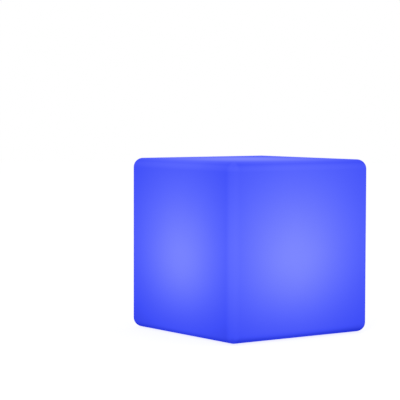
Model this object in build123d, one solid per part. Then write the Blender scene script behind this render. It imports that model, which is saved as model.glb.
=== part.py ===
from build123d import *
import math
import os

# LED cube light: a hollow cube of milky polyethylene, rotomoulded in one piece, that a light
# module in its underside fills with light. The module is a round plastic housing with a
# flange, held in a well in the cube's base by six screws on a silicone gasket. It carries the
# rechargeable battery, the driver board, two rings of colour LEDs under a frosted dome, the
# charging jack with its rubber cover, and the power button.
#
# Frame: millimetres, +Z up, -Y is the front. The origin is on the floor, at the middle of the
# cube's footprint.

# ---------------------------------------------------------------- sizes: moulded cube
side = 400.0                # outer width and depth
height = 400.0              # outer height of the moulding, without its feet
wall = 3.0                  # skin thickness
edge_radius = 22.0          # outer rounding of every edge
well_gap = 2.0              # between the well, at its seat, and the module's flange
well_depth = 15.0           # base face to seat
well_draft = 3.0            # degrees, so that the cooling skin lets go of the mould
well_mouth_radius = 5.0     # rounding from the base face into the well
well_seat_radius = 3.5      # rounding from the well's wall to its seat
opening_gap = 2.0           # between the seat's opening and the tub that goes up through it
seat_chamfer = 0.8          # trimmed edge of that hole

# ---------------------------------------------------------------- sizes: feet
foot_radius = 13.0
foot_thickness = 3.6
foot_recess_depth = 1.2
foot_gap = 0.4              # all round the foot in its recess
foot_inset = 62.0           # foot's centre to the cube's side
foot_groove_radius = 6.5    # round groove in the tread
foot_groove_width = 1.6
foot_groove_depth = 0.8
foot_edge = 0.8             # bevel of the tread's edge

# ---------------------------------------------------------------- sizes: module's fixing
flange_screw_count = 6
flange_screw_first = 30.0   # degrees
boss_radius = 6.5           # lump of the skin that is moulded round an insert
boss_height = 13.0
boss_rounding = 3.0
boss_land = 1.5             # between the seat's opening and a boss
insert_radius = 3.1
insert_collar_radius = 4.2
insert_collar = 0.8
insert_floor = 1.0          # closed end of the insert
thread_engagement = 7.0     # flange screw in its insert
thread_spare = 1.0          # hole beyond a screw's end
thread_gap = 0.05           # between a screw's shank and what its thread holds
moulded_gap = 0.03          # between a piece and the plastic moulded round it
gasket_thickness = 2.0
gasket_width = 13.0         # evenly inside and outside the circle of screws

# ---------------------------------------------------------------- sizes: module housing
flange_land = 3.5           # flange beyond the gasket
flange_thickness = 4.0
flange_edge = 1.2
ring_groove_offset = 1.0    # fine groove round the outer face, this far outside the tub
ring_groove_width = 1.0
ring_groove_depth = 0.6
counterbore_radius = 4.6
counterbore_depth = 1.6
screw_hole_gap = 0.25       # a through hole is this much wider than its screw, all round
tub_radius = 54.0
tub_wall = 2.4
tub_height = 50.6           # inside floor to rim
corner_boss_radius = 3.6    # takes a dome screw
corner_boss_inset = 4.5     # its middle to the tub's outside
dome_screw_count = 4
dome_screw_first = 45.0     # degrees
saddle_rib = 2.0            # thickness of the ribs that cradle the battery
saddle_spacing = 36.0
saddle_shoulder = 3.0       # rib that stands beside the battery
end_stop_width = 14.0
end_stop_height = 9.0
post_radius = 3.5           # carries the driver board
post_gap = 1.0              # between a post and the battery's side
post_inset = 4.5            # its middle to the board's edge
post_height = 28.6

# ---------------------------------------------------------------- sizes: screws
m4_radius = 2.0
m4_head_radius = 4.0
m4_head_height = 2.8
m3_radius = 1.5
m3_head_radius = 2.8
m3_head_height = 1.9
m3_length = 9.0
m3_short_length = 6.0
drive_radius = 1.1          # recess for the screwdriver
drive_depth = 1.1
head_bevel = 0.45           # of the head's height

# ---------------------------------------------------------------- sizes: battery
cell_radius = 9.25
cell_length = 65.0
cell_gap = 0.2
cell_rim = 0.5              # bevel of the can's rims
wrap_thickness = 0.3
wrap_gap = 0.1
wrap_lip = 0.6              # wrap past the links
link_thickness = 0.3        # welded nickel strip
link_width = 7.0
battery_lift = 1.0          # battery above the housing's floor
battery_fit = 0.2
soft_gap = 0.1              # each side of the foam
foam_thickness = 1.2
foam_margin = 6.0           # from the clamp's ends to the foam's
clamp_thickness = 1.2
clamp_ear_length = 7.4
clamp_ear_width = 8.0
clamp_ear_overlap = 0.8     # ear under the clamp's bend
clamp_boss_radius = 3.2
clamp_boss_gap = 4.8        # between that boss and the post beside it

# ---------------------------------------------------------------- sizes: driver board
board_thickness = 1.6
board_gap = 0.5             # between the board and the tub's corner bosses
notch_depth = 5.0           # edge notch that passes a lead
notch_width = 7.0
chip_height = 1.6
chip_long = 9.0
small_chip_long = 5.0
chip_short = 4.0
controller_place = (-7.0, 2.0)
charger_place = (14.0, 10.0)
transistor_count = 3
transistor_place = (-24.0, -2.0)
transistor_pitch = 7.0
inductor_size = 8.0
inductor_height = 5.0
inductor_bevel = 1.5
inductor_place = (12.0, -8.0)
capacitor_radius = 4.0
capacitor_height = 11.0
capacitor_rim = 0.4
capacitor_places = ((-22.0, 14.0), (-11.0, 19.0))
lead_spread = 8.0           # notch that a lead comes up through to the connector it goes into
header_width = 9.0
header_depth = 5.0
header_height = 5.0
header_wall = 0.8
plug_height = 6.0
plug_fit = 0.15
lead_width = 3.0            # flat twin lead
lead_thickness = 1.4
lead_arch = 7.0             # lead above the plug it goes into
ribbon_width = 6.4          # four-way ribbon to the LED board
ribbon_thickness = 1.3

# ---------------------------------------------------------------- sizes: LED deck
deck_thickness = 2.0
deck_lip_height = 2.5
deck_lip_thickness = 1.6
deck_lip_gap = 0.25
deck_lip_break = 12.0       # break in the lip at each corner boss
led_board_gap = 4.0         # between the LED board and the dome
outer_led_inset = 8.0       # outer ring of LEDs to the board's edge
outer_led_count = 12
led_ring_spacing = 17.0     # outer ring to inner ring
inner_led_count = 6
led_size = 5.0
led_height = 1.6
led_well_radius = 1.9
led_well_depth = 0.5
led_screw_inset = 8.0       # outer ring of LEDs to the screws
led_screw_count = 3
led_screw_first = 90.0      # degrees
deck_boss_radius = 3.4
deck_boss_depth = 5.0
harness_inset = 2.0         # ribbon's middle to the LED board's edge
ribbon_span = 14.0          # ribbon's way across to its plug on the LED board
harness_slot_depth = 4.4
harness_slot_width = 9.0
receiver_width = 6.4
receiver_depth = 4.4
receiver_height = 7.6
receiver_lens_radius = 2.4
receiver_lens_drop = 3.1    # top of the receiver to the middle of its lens

# ---------------------------------------------------------------- sizes: frosted dome
dome_head_gap = 0.7         # between the dome and the heads of its screws
dome_flange_thickness = 2.4
dome_wall = 2.0
dome_straight = 18.0        # upright part above the flange
dome_lean = 1.5             # how far the upright part leans in
dome_rise = 32.0            # cap above the upright part
dome_shoulder_radius = 14.0

# ---------------------------------------------------------------- sizes: power button
button_radius = 7.0
button_gap = 0.35
button_proud = 1.2
button_travel = 1.5
button_edge = 0.9
button_dish = 0.5           # hollow of the pressed face
button_dish_radius = 30.0
button_flange_radius = 8.4  # wider than the hole, so that the button stays in
button_skin = 1.6
finger_hollow_radius = 11.5
finger_hollow_depth = 0.9
ledge_height = 2.4          # face of the housing to the ledge that the flange rests on
cup_radius = 10.8           # rim round the button on the housing's floor
cup_height = 3.6
cup_land = 0.8              # between that rim and the tub's wall
stem_radius = 3.0
stem_gap = 0.15
stem_end_gap = 0.3          # left between stem and switch when fully pressed
retainer_thickness = 1.8
retainer_collar_radius = 6.6
retainer_collar_height = 3.0
retainer_ear_reach = 4.2    # screw's middle beyond the rim round the button
retainer_ear_radius = 3.6
seal_radius = 5.2
seal_thickness = 1.6
seal_gap = 0.05
switch_width = 8.0
switch_height = 6.5
plunger_width = 3.0
plunger_gap = 0.2
plunger_grip = 2.5          # plunger held in the button's stem
plunger_inside = 1.5        # plunger inside the switch at rest

# ---------------------------------------------------------------- sizes: charging jack
jack_setback = 5.4          # jack's middle to the notch that its leads go up through
jack_flange_radius = 7.0
jack_flange_thickness = 1.2
jack_barrel_radius = 5.5
jack_barrel_gap = 0.1
jack_length = 13.5          # flange's outer face to the barrel's end
jack_bore_radius = 3.15
jack_bore_depth = 10.0
pin_radius = 1.05
pin_setback = 2.0           # mouth of the bore to the tip of the centre pin
tag_width = 2.4
tag_thickness = 0.6
tag_length = 4.0
nut_across_flats = 14.0
nut_thickness = 2.4
washer_radius = 8.2
washer_thickness = 0.8

# ---------------------------------------------------------------- sizes: charging port cover
port_recess_depth = 1.6
recess_margin = 0.8
cover_thickness = 1.4
cover_radius = 8.0
cover_lift = 0.2            # between the cover and the jack's flange
cover_nub_radius = 2.7
cover_nub_length = 1.2
cover_tab_length = 5.0
cover_tab_width = 6.0
strap_width = 5.0
strap_reach = 4.0           # cover's rim to the line that the strap bends on
hinge_gap = 0.3
anchor_reach = 5.0          # that line to the anchor's middle
anchor_pad_radius = 3.2
anchor_stem_radius = 1.5
anchor_barb_radius = 2.3
anchor_tip_radius = 0.9
anchor_barb_height = 1.8

# ---------------------------------------------------------------- sizes: charge indicator
pipe_beside = 8.0           # light pipe's middle beyond the cover's tab
pipe_radius = 1.5
pipe_gap = 0.08
pipe_collar_radius = 2.6
pipe_collar_height = 1.2
pipe_air = 0.2              # light pipe to the lamp above it
charge_led_size = 1.8
charge_led_height = 0.8

# ---------------------------------------------------------------- radii and places worked out
tub_inner_radius = tub_radius - tub_wall
seat_opening_radius = tub_radius + opening_gap
screw_circle_radius = seat_opening_radius + boss_land + boss_radius
gasket_inner_radius = screw_circle_radius - gasket_width / 2
gasket_outer_radius = screw_circle_radius + gasket_width / 2
flange_radius = gasket_outer_radius + flange_land
well_radius = flange_radius + well_gap
ring_groove_radius = tub_radius + ring_groove_offset

cell_y = cell_radius + cell_gap / 2
wrap_radius = cell_radius + wrap_gap + wrap_thickness
battery_length = cell_length + 2 * (link_thickness + wrap_lip)
clamp_inner_radius = wrap_radius + foam_thickness + 2 * soft_gap
clamp_outer_radius = clamp_inner_radius + clamp_thickness
clamp_ear_end = cell_y + clamp_outer_radius + clamp_ear_length - clamp_ear_overlap
clamp_screw_y = clamp_ear_end - clamp_ear_length / 2

corner_boss_circle = tub_radius - corner_boss_inset
main_board_radius = corner_boss_circle - corner_boss_radius - board_gap
lead_channel = main_board_radius - notch_depth / 2
battery_header_x = lead_channel - lead_spread
jack_header_y = lead_channel - lead_spread
post_y = cell_y + wrap_radius + post_gap + post_radius
post_x = math.sqrt((main_board_radius - post_inset) ** 2 - post_y**2)
clamp_screw_x = post_x - post_radius - clamp_boss_gap - clamp_boss_radius
clamp_length = 2 * clamp_screw_x + clamp_ear_width
foam_length = clamp_length - 2 * foam_margin
dome_radius = corner_boss_circle - m3_head_radius - dome_head_gap
led_board_radius = dome_radius - dome_wall - led_board_gap
outer_led_circle = led_board_radius - outer_led_inset
inner_led_circle = outer_led_circle - led_ring_spacing
led_screw_circle = outer_led_circle - led_screw_inset
harness_y = -(led_board_radius - harness_inset)
led_header_y = harness_y + ribbon_span

button_y = -(tub_inner_radius - cup_land - cup_radius)
button_hole_radius = button_radius + button_gap
retainer_screw_reach = cup_radius + retainer_ear_reach
jack_y = lead_channel - jack_setback
hinge_x = -(cover_radius + strap_reach)
anchor_x = hinge_x - anchor_reach
pipe_x = cover_radius + cover_tab_length + pipe_beside
pipe_y = jack_y

# ---------------------------------------------------------------- levels worked out
base_z = foot_thickness - foot_recess_depth
seat_z = base_z + well_depth
floor_z = seat_z - gasket_thickness         # flange's upper face, and the tub's inside floor
face_z = floor_z - flange_thickness         # module's outer face
tub_top_z = floor_z + tub_height
head_z = face_z + counterbore_depth
insert_bore_depth = thread_engagement + thread_spare
insert_length = insert_bore_depth + insert_floor
m4_length = seat_z - head_z + thread_engagement
pilot_depth = m3_length + thread_spare

battery_z = floor_z + battery_lift + wrap_radius

board_z = floor_z + post_height             # driver board's underside
board_top_z = board_z + board_thickness
deck_top_z = tub_top_z + deck_thickness
led_board_top_z = deck_top_z + board_thickness
led_top_z = led_board_top_z + led_height
dome_flange_top_z = deck_top_z + dome_flange_thickness
dome_shoulder_z = dome_flange_top_z + dome_straight
dome_crown_z = dome_shoulder_z + dome_rise

button_face_z = face_z - button_proud
ledge_z = face_z + ledge_height
retainer_z = floor_z + cup_height
button_flange_top_z = retainer_z - button_travel
collar_top_z = retainer_z + retainer_thickness + retainer_collar_height
switch_z = board_z - switch_height
stem_top_z = switch_z - button_travel - stem_end_gap

port_z = face_z + port_recess_depth         # face that the jack's flange sits on
jack_mouth_z = port_z - jack_flange_thickness
jack_back_z = jack_mouth_z + jack_length
cover_top_z = jack_mouth_z - cover_lift
cover_low_z = cover_top_z - cover_thickness
overcut = 1.0                               # how far a cutting solid runs past what it cuts

LOW = (Align.CENTER, Align.CENTER, Align.MIN)


# ---------------------------------------------------------------- small helpers
def disc(radius, low, high, x=0.0, y=0.0):
    """An upright cylinder between two levels."""
    return Pos(x, y, low) * Cylinder(radius, high - low, align=LOW)


def tube(outer, inner, low, high, x=0.0, y=0.0):
    """An upright ring between two levels."""
    return disc(outer, low, high, x, y) - disc(inner, low - overcut, high + overcut, x, y)


def block(x_size, y_size, low, high, x=0.0, y=0.0):
    """An upright box between two levels."""
    return Pos(x, y, low) * Box(x_size, y_size, high - low, align=LOW)


def ring_of(count, radius, first=0.0):
    """Places evenly spaced on a circle, as (x, y, angle in degrees)."""
    places = []
    for n in range(count):
        angle = first + 360.0 * n / count
        turn = math.radians(angle)
        places.append((radius * math.cos(turn), radius * math.sin(turn), angle))
    return places


def circles_at(shape, radius, z):
    """The round edges of a shape with that radius at that level."""
    return [
        edge
        for edge in shape.edges().filter_by(GeomType.CIRCLE)
        if abs(edge.radius - radius) < 0.01 and abs(edge.arc_center.Z - z) < 0.01
    ]


def all_of(pieces):
    """Several separate solids as one node."""
    return Compound(children=[solid for piece in pieces for solid in piece.solids()])


def flange_screw_places():
    return [(x, y) for x, y, _ in ring_of(flange_screw_count, screw_circle_radius, flange_screw_first)]


def dome_screw_places():
    return [(x, y) for x, y, _ in ring_of(dome_screw_count, corner_boss_circle, dome_screw_first)]


def led_screw_places():
    return [(x, y) for x, y, _ in ring_of(led_screw_count, led_screw_circle, led_screw_first)]


def retainer_screw_places():
    return [(x, button_y) for x in (-retainer_screw_reach, retainer_screw_reach)]


def clamp_screw_places():
    return [(x, y) for x in (-clamp_screw_x, clamp_screw_x) for y in (-clamp_screw_y, clamp_screw_y)]


def post_places():
    return [(x, y) for x in (-post_x, post_x) for y in (-post_y, post_y)]


def foot_places():
    reach = side / 2 - foot_inset
    return [(x, y) for x in (-reach, reach) for y in (-reach, reach)]


# ---------------------------------------------------------------- screws
def pan_screw(radius, length, head_radius, head_height):
    """A pan-head screw that points up, with its head's bearing face at level 0."""
    shank = disc(radius, 0, length)
    head = disc(head_radius, -head_height, 0)
    head = chamfer(circles_at(head, head_radius, -head_height), head_height * head_bevel)
    head -= disc(drive_radius, -head_height - overcut, -head_height + drive_depth)
    return shank + head


def flange_screws():
    """The screws that go up through flange and gasket into their inserts."""
    screw = pan_screw(m4_radius, m4_length, m4_head_radius, m4_head_height)
    return all_of([Pos(x, y, head_z) * screw for x, y in flange_screw_places()])


def small_screws(places, bearing_z, length):
    """Screws driven downwards into plastic, with their heads' bearing faces at one level."""
    screw = Rot(180, 0, 0) * pan_screw(m3_radius, length, m3_head_radius, m3_head_height)
    return all_of([Pos(x, y, bearing_z) * screw for x, y in places])


# ---------------------------------------------------------------- moulded cube and its feet
def moulded_form(inset):
    """What lies inside the skin's outer face, or inside its inner face if inset is the wall."""
    low = base_z + inset
    width = side - 2 * inset
    form = Pos(0, 0, low) * Box(width, width, height - 2 * inset, align=LOW)
    form = fillet(form.edges(), edge_radius - inset)

    # The well: its draft opens it towards the mouth, and both of its rims are rounded
    lean = math.tan(math.radians(well_draft))
    skin = inset / math.cos(math.radians(well_draft))
    mouth = well_radius + skin + (seat_z - low) * lean
    seat = well_radius + skin - inset * lean
    form -= Pos(0, 0, low) * Cone(mouth, seat, seat_z + inset - low, align=LOW)
    form = fillet(circles_at(form, mouth, low), well_mouth_radius - inset)
    form = fillet(circles_at(form, seat, seat_z + inset), well_seat_radius + inset)

    # The four shallow recesses for the feet
    recess = foot_radius + foot_gap + inset
    for x, y in foot_places():
        form -= disc(recess, low - overcut, base_z + foot_recess_depth + inset, x, y)
    return form


def insert_boss(x, y):
    """The closed lump of plastic that forms round an insert while the mould turns."""
    top = seat_z + boss_height
    boss = disc(boss_radius, seat_z + wall / 2, top, x, y)
    return fillet(circles_at(boss, boss_radius, top), boss_rounding)


def cube_shell():
    """The rotomoulded cube: one skin, its base turned up into the well that takes the module."""
    shell = moulded_form(0) - moulded_form(wall)
    for x, y in flange_screw_places():
        shell += insert_boss(x, y)
    shell -= disc(seat_opening_radius, seat_z - overcut, seat_z + boss_height + overcut)
    shell = chamfer(circles_at(shell, seat_opening_radius, seat_z), seat_chamfer)
    body = insert_radius + moulded_gap
    collar = insert_collar_radius + moulded_gap
    for x, y in flange_screw_places():
        shell -= disc(body, seat_z - overcut, seat_z + insert_length + moulded_gap, x, y)
        shell -= disc(collar, seat_z - overcut, seat_z + insert_collar + moulded_gap, x, y)
    return shell


def threaded_insert(x, y):
    """A brass nut moulded into the seat: a collar, a body and a blind threaded hole."""
    insert = disc(insert_radius, seat_z, seat_z + insert_length, x, y)
    insert += disc(insert_collar_radius, seat_z, seat_z + insert_collar, x, y)
    return insert - disc(m4_radius + thread_gap, seat_z - overcut, seat_z + insert_bore_depth, x, y)


def rubber_foot(x, y):
    """A self-adhesive rubber pad, bevelled round its tread, with one round groove."""
    foot = disc(foot_radius, 0, foot_thickness, x, y)
    foot = chamfer(circles_at(foot, foot_radius, 0), foot_edge)
    outer = foot_groove_radius + foot_groove_width / 2
    inner = foot_groove_radius - foot_groove_width / 2
    return foot - tube(outer, inner, -overcut, foot_groove_depth, x, y)


def flange_gasket():
    """The flat silicone ring that keeps water out of the cube."""
    gasket = tube(gasket_outer_radius, gasket_inner_radius, floor_z, seat_z)
    for x, y in flange_screw_places():
        gasket -= disc(m4_radius + screw_hole_gap, floor_z - overcut, seat_z + overcut, x, y)
    return gasket


# ---------------------------------------------------------------- module housing
def battery_section(grow):
    """The wrapped battery's outline across its length, grown on every side."""
    return Pos(0, 0, battery_z) * (
        Plane.YZ * SlotCenterToCenter(2 * cell_y, 2 * (wrap_radius + grow))
    )


def port_outline():
    """In plan, the recess that the charging cover, its strap, anchor and tab lie in."""
    reach = cover_radius + cover_tab_length + recess_margin
    outline = Pos(0, jack_y) * Circle(cover_radius + recess_margin)
    outline += Pos(anchor_x, jack_y) * Circle(anchor_pad_radius + recess_margin)
    outline += Pos(anchor_x / 2, jack_y) * Rectangle(abs(anchor_x), strap_width + 2 * recess_margin)
    return outline + Pos(reach / 2, jack_y) * Rectangle(reach, cover_tab_width + 2 * recess_margin)


def battery_saddle():
    """Two cross ribs that follow the battery's underside, and a stop beyond each of its ends."""
    width = 2 * (cell_y + wrap_radius + saddle_shoulder)
    saddle = block(saddle_rib, width, floor_z, battery_z, -saddle_spacing / 2)
    saddle += block(saddle_rib, width, floor_z, battery_z, saddle_spacing / 2)
    saddle -= extrude(battery_section(battery_fit), amount=battery_length, both=True)
    reach = battery_length / 2 + battery_fit + saddle_rib / 2
    for x in (-reach, reach):
        saddle += block(saddle_rib, end_stop_width, floor_z, floor_z + end_stop_height, x)
    return saddle


def inside_bosses():
    """Everything that stands on the housing's floor to take a screw or guide the button."""
    root = floor_z - flange_thickness / 2
    bosses = disc(cup_radius, root, retainer_z, 0, button_y)
    for x, y in retainer_screw_places():
        bosses += disc(retainer_ear_radius, root, retainer_z, x, y)
    for x, y in clamp_screw_places():
        bosses += disc(clamp_boss_radius, root, battery_z, x, y)
    for x, y in post_places():
        bosses += disc(post_radius, root, board_z, x, y)
    for x, y in dome_screw_places():
        bosses += disc(corner_boss_radius, root, tub_top_z, x, y)
    return bosses


def pilot_holes():
    """The holes that the small screws cut their thread in."""
    radius = m3_radius + thread_gap
    short = m3_short_length - retainer_thickness + thread_spare
    holes = []
    for places, top, depth in (
        (dome_screw_places(), tub_top_z, pilot_depth),
        (post_places(), board_z, pilot_depth),
        (clamp_screw_places(), battery_z, pilot_depth),
        (retainer_screw_places(), retainer_z, short),
    ):
        holes += [disc(radius, top - depth, top + overcut, x, y) for x, y in places]
    return holes


def button_opening():
    """The finger hollow, the button's hole, and the wider hole behind for its flange."""
    hollow = (finger_hollow_radius**2 + finger_hollow_depth**2) / (2 * finger_hollow_depth)
    opening = Pos(0, button_y, face_z + finger_hollow_depth - hollow) * Sphere(hollow)
    opening += disc(button_hole_radius, face_z - overcut, retainer_z, 0, button_y)
    flange_hole = button_flange_radius + button_gap
    return opening + disc(flange_hole, ledge_z, retainer_z + overcut, 0, button_y)


def module_housing():
    """The moulded tub with its flange: everything else in the module is fixed to it."""
    body = disc(flange_radius, face_z, floor_z)
    body = fillet(circles_at(body, flange_radius, face_z), flange_edge)
    body += disc(tub_radius, floor_z - flange_thickness / 2, tub_top_z)
    body -= disc(tub_inner_radius, floor_z, tub_top_z + overcut)
    body += inside_bosses()
    body += battery_saddle()
    body -= pilot_holes()
    body -= button_opening()

    # Flange: screw holes with a counterbore for the heads, and the fine round groove
    for x, y in flange_screw_places():
        body -= disc(m4_radius + screw_hole_gap, face_z - overcut, floor_z + overcut, x, y)
        body -= disc(counterbore_radius, face_z - overcut, head_z, x, y)
    groove_outer = ring_groove_radius + ring_groove_width / 2
    groove_inner = ring_groove_radius - ring_groove_width / 2
    body -= tube(groove_outer, groove_inner, face_z - overcut, face_z + ring_groove_depth)

    # Charging port: recess for the rubber cover, holes for the jack and the cover's anchor
    recess = Pos(0, 0, face_z - overcut) * port_outline()
    body -= extrude(recess, amount=port_recess_depth + overcut)
    body -= disc(jack_barrel_radius + jack_barrel_gap, face_z, floor_z + overcut, 0, jack_y)
    body -= disc(anchor_stem_radius + moulded_gap, face_z, floor_z + overcut, anchor_x, jack_y)

    # Charge indicator
    return body - disc(pipe_radius + pipe_gap, face_z - overcut, floor_z + overcut, pipe_x, pipe_y)


# ---------------------------------------------------------------- battery
def battery_cells():
    """Two round lithium cells that lie side by side along X."""
    cells = []
    for y in (-cell_y, cell_y):
        cell = Pos(0, y, battery_z) * Rot(0, 90, 0) * Cylinder(cell_radius, cell_length)
        cells.append(chamfer(cell.edges().filter_by(GeomType.CIRCLE), cell_rim))
    return all_of(cells)


def battery_links():
    """The nickel strips welded across the cells' ends."""
    reach = cell_length / 2 + link_thickness / 2
    link = Box(link_thickness, 2 * cell_y + link_width, link_width)
    return all_of([Pos(x, 0, battery_z) * link for x in (-reach, reach)])


def battery_wrap():
    """The heat-shrunk sleeve that holds the two cells together."""
    sleeve = extrude(battery_section(0), amount=battery_length / 2, both=True)
    return sleeve - extrude(battery_section(-wrap_thickness), amount=battery_length, both=True)


def over_battery(inner, outer, width):
    """A band over the battery's upper half, between two distances from its wrap."""
    band = extrude(battery_section(outer), amount=width / 2, both=True)
    band -= extrude(battery_section(inner), amount=width, both=True)
    reach = 2 * (cell_y + wrap_radius + outer) + overcut
    return band & block(width, reach, battery_z, battery_z + wrap_radius + outer + overcut)


def battery_foam():
    """The foam sheet that takes up the play under the clamp."""
    return over_battery(soft_gap, soft_gap + foam_thickness, foam_length)


def battery_clamp():
    """The moulded half shell over the battery, with an ear and a screw hole at each corner."""
    clamp = over_battery(clamp_inner_radius - wrap_radius, clamp_outer_radius - wrap_radius, clamp_length)
    top = battery_z + clamp_thickness
    for x, y in clamp_screw_places():
        clamp += block(clamp_ear_width, clamp_ear_length, battery_z, top, x, y)
    for x, y in clamp_screw_places():
        clamp -= disc(m3_radius + screw_hole_gap, battery_z - overcut, top + overcut, x, y)
    return clamp


# ---------------------------------------------------------------- driver board
def main_board():
    """The round driver board, notched at its edge for the leads that come up from below."""
    board = disc(main_board_radius, board_z, board_top_z)
    low = board_z - overcut
    high = board_top_z + overcut
    board -= block(2 * notch_depth, notch_width, low, high, main_board_radius)
    board -= block(notch_width, 2 * notch_depth, low, high, 0, main_board_radius)
    for x, y in post_places():
        board -= disc(m3_radius + screw_hole_gap, low, high, x, y)
    return board


def driver_chips():
    """The controller, the charging chip and the three transistors that drive the colours."""
    top = board_top_z + chip_height
    chips = [
        block(chip_long, chip_short, board_top_z, top, *controller_place),
        block(small_chip_long, chip_short, board_top_z, top, *charger_place),
    ]
    x, first_y = transistor_place
    for n in range(transistor_count):
        y = first_y - n * transistor_pitch
        chips.append(block(small_chip_long, chip_short, board_top_z, top, x, y))
    return all_of(chips)


def power_inductor():
    """The driver's choke: a square ferrite can with cut corners."""
    top = board_top_z + inductor_height
    coil = block(inductor_size, inductor_size, board_top_z, top, *inductor_place)
    return chamfer(coil.edges().filter_by(Axis.Z), inductor_bevel)


def capacitors():
    """Two upright electrolytic capacitors."""
    top = board_top_z + capacitor_height
    cans = []
    for x, y in capacitor_places:
        can = disc(capacitor_radius, board_top_z, top, x, y)
        cans.append(chamfer(circles_at(can, capacitor_radius, top), capacitor_rim))
    return all_of(cans)


def connector_places():
    """Where the connectors stand, as (x, y, board's level, long side along Y or not)."""
    return [
        (battery_header_x, 0.0, board_top_z, True),
        (0.0, jack_header_y, board_top_z, False),
        (0.0, harness_y, board_top_z, False),
        (0.0, led_header_y, led_board_top_z, False),
    ]


def board_connector(x, y, z, turned):
    """An open-topped socket for a lead's plug."""
    x_size, y_size = (header_depth, header_width) if turned else (header_width, header_depth)
    socket = block(x_size, y_size, z, z + header_height, x, y)
    walls = 2 * header_wall
    return socket - block(x_size - walls, y_size - walls, z + header_wall, z + header_height + overcut, x, y)


def lead_plug(x, y, z, turned):
    """The plug in a socket, down to the socket's floor."""
    x_size, y_size = (header_depth, header_width) if turned else (header_width, header_depth)
    trim = 2 * (header_wall + plug_fit)
    return block(x_size - trim, y_size - trim, z + header_wall, plug_top(z), x, y)


def plug_top(z):
    """The top of a plug whose socket stands on the level z."""
    return z + header_wall + plug_height


def flat_lead(points, radii, width, thickness, across):
    """A flat cable along straight runs joined by arcs. Its width lies along across."""
    route = FilletPolyline(*points, radius=radii)
    start = Vector(*points[0])
    heading = (Vector(*points[1]) - start).normalized()
    section = Plane(origin=start, x_dir=across, z_dir=heading) * Rectangle(width, thickness)
    return sweep(section, path=route)


def bend_between(first, second):
    """The largest radius that two neighbouring bends can both have, a little reduced."""
    return abs(second - first) * 0.48


def battery_leads():
    """From the battery's end, up through the board's notch and down to its plug."""
    top = plug_top(board_top_z)
    arch = top + lead_arch
    points = [
        (battery_length / 2, 0, battery_z),
        (lead_channel, 0, battery_z),
        (lead_channel, 0, arch),
        (battery_header_x, 0, arch),
        (battery_header_x, 0, top),
    ]
    bend = bend_between(battery_header_x, lead_channel)
    return flat_lead(points, [bend, bend, bend], lead_width, lead_thickness, (0, 1, 0))


def jack_leads():
    """From the jack's tag, out and up through the board's other notch to its plug."""
    tag_top = jack_back_z + tag_length
    turn = bend_between(jack_y, lead_channel)
    level = tag_top + 2 * turn
    top = plug_top(board_top_z)
    arch = top + lead_arch
    points = [
        (0, jack_y, tag_top),
        (0, jack_y, level),
        (0, lead_channel, level),
        (0, lead_channel, arch),
        (0, jack_header_y, arch),
        (0, jack_header_y, top),
    ]
    bend = bend_between(jack_header_y, lead_channel)
    return flat_lead(points, [turn, turn, bend, bend], lead_width, lead_thickness, (1, 0, 0))


def led_harness():
    """The ribbon from the driver board up through the deck, over to the LED board's plug."""
    bend = bend_between(harness_y, led_header_y)
    high = plug_top(led_board_top_z)
    crest = high + 2 * bend
    points = [
        (0, harness_y, plug_top(board_top_z)),
        (0, harness_y, crest),
        (0, led_header_y, crest),
        (0, led_header_y, high),
    ]
    return flat_lead(points, [bend, bend], ribbon_width, ribbon_thickness, (1, 0, 0))


# ---------------------------------------------------------------- LED deck
def harness_slot(low, high):
    """The slot that passes the ribbon."""
    return block(harness_slot_width, harness_slot_depth, low - overcut, high + overcut, 0, harness_y)


def deck_plate():
    """The white plate that closes the tub and carries the LED board."""
    deck = disc(tub_radius, tub_top_z, deck_top_z)
    outer = tub_inner_radius - deck_lip_gap
    lip_low = tub_top_z - deck_lip_height
    lip = tube(outer, outer - deck_lip_thickness, lip_low, tub_top_z + deck_thickness / 2)
    for x, y in dome_screw_places():
        lip -= disc(deck_lip_break / 2, lip_low - overcut, tub_top_z, x, y)
    deck += lip
    for x, y in led_screw_places():
        deck += disc(deck_boss_radius, tub_top_z - deck_boss_depth, deck_top_z, x, y)
    pilot_low = led_board_top_z - m3_short_length - thread_spare
    for x, y in led_screw_places():
        deck -= disc(m3_radius + thread_gap, pilot_low, deck_top_z + overcut, x, y)
    for x, y in dome_screw_places():
        deck -= disc(m3_radius + screw_hole_gap, tub_top_z - overcut, deck_top_z + overcut, x, y)
    return deck - harness_slot(tub_top_z, deck_top_z)


def led_board():
    """The round white board under the dome."""
    board = disc(led_board_radius, deck_top_z, led_board_top_z)
    for x, y in led_screw_places():
        board -= disc(m3_radius + screw_hole_gap, deck_top_z - overcut, led_board_top_z + overcut, x, y)
    return board - harness_slot(deck_top_z, led_board_top_z)


def led_package():
    """One colour LED at the board's middle: a square package with a well for its chips."""
    package = block(led_size, led_size, led_board_top_z, led_top_z)
    return package - disc(led_well_radius, led_top_z - led_well_depth, led_top_z + overcut)


def colour_leds():
    """The LEDs, in an outer and an inner ring."""
    package = led_package()
    places = ring_of(outer_led_count, outer_led_circle, 180.0 / outer_led_count)
    places += ring_of(inner_led_count, inner_led_circle)
    return all_of([Pos(x, y, 0) * Rot(0, 0, angle) * package for x, y, angle in places])


def remote_receiver():
    """The infrared receiver for a remote control, with its bulging lens."""
    top = led_board_top_z + receiver_height
    body = block(receiver_width, receiver_depth, led_board_top_z, top)
    lens = Pos(0, -receiver_depth / 2, top - receiver_lens_drop) * Sphere(receiver_lens_radius)
    return body + lens


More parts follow.
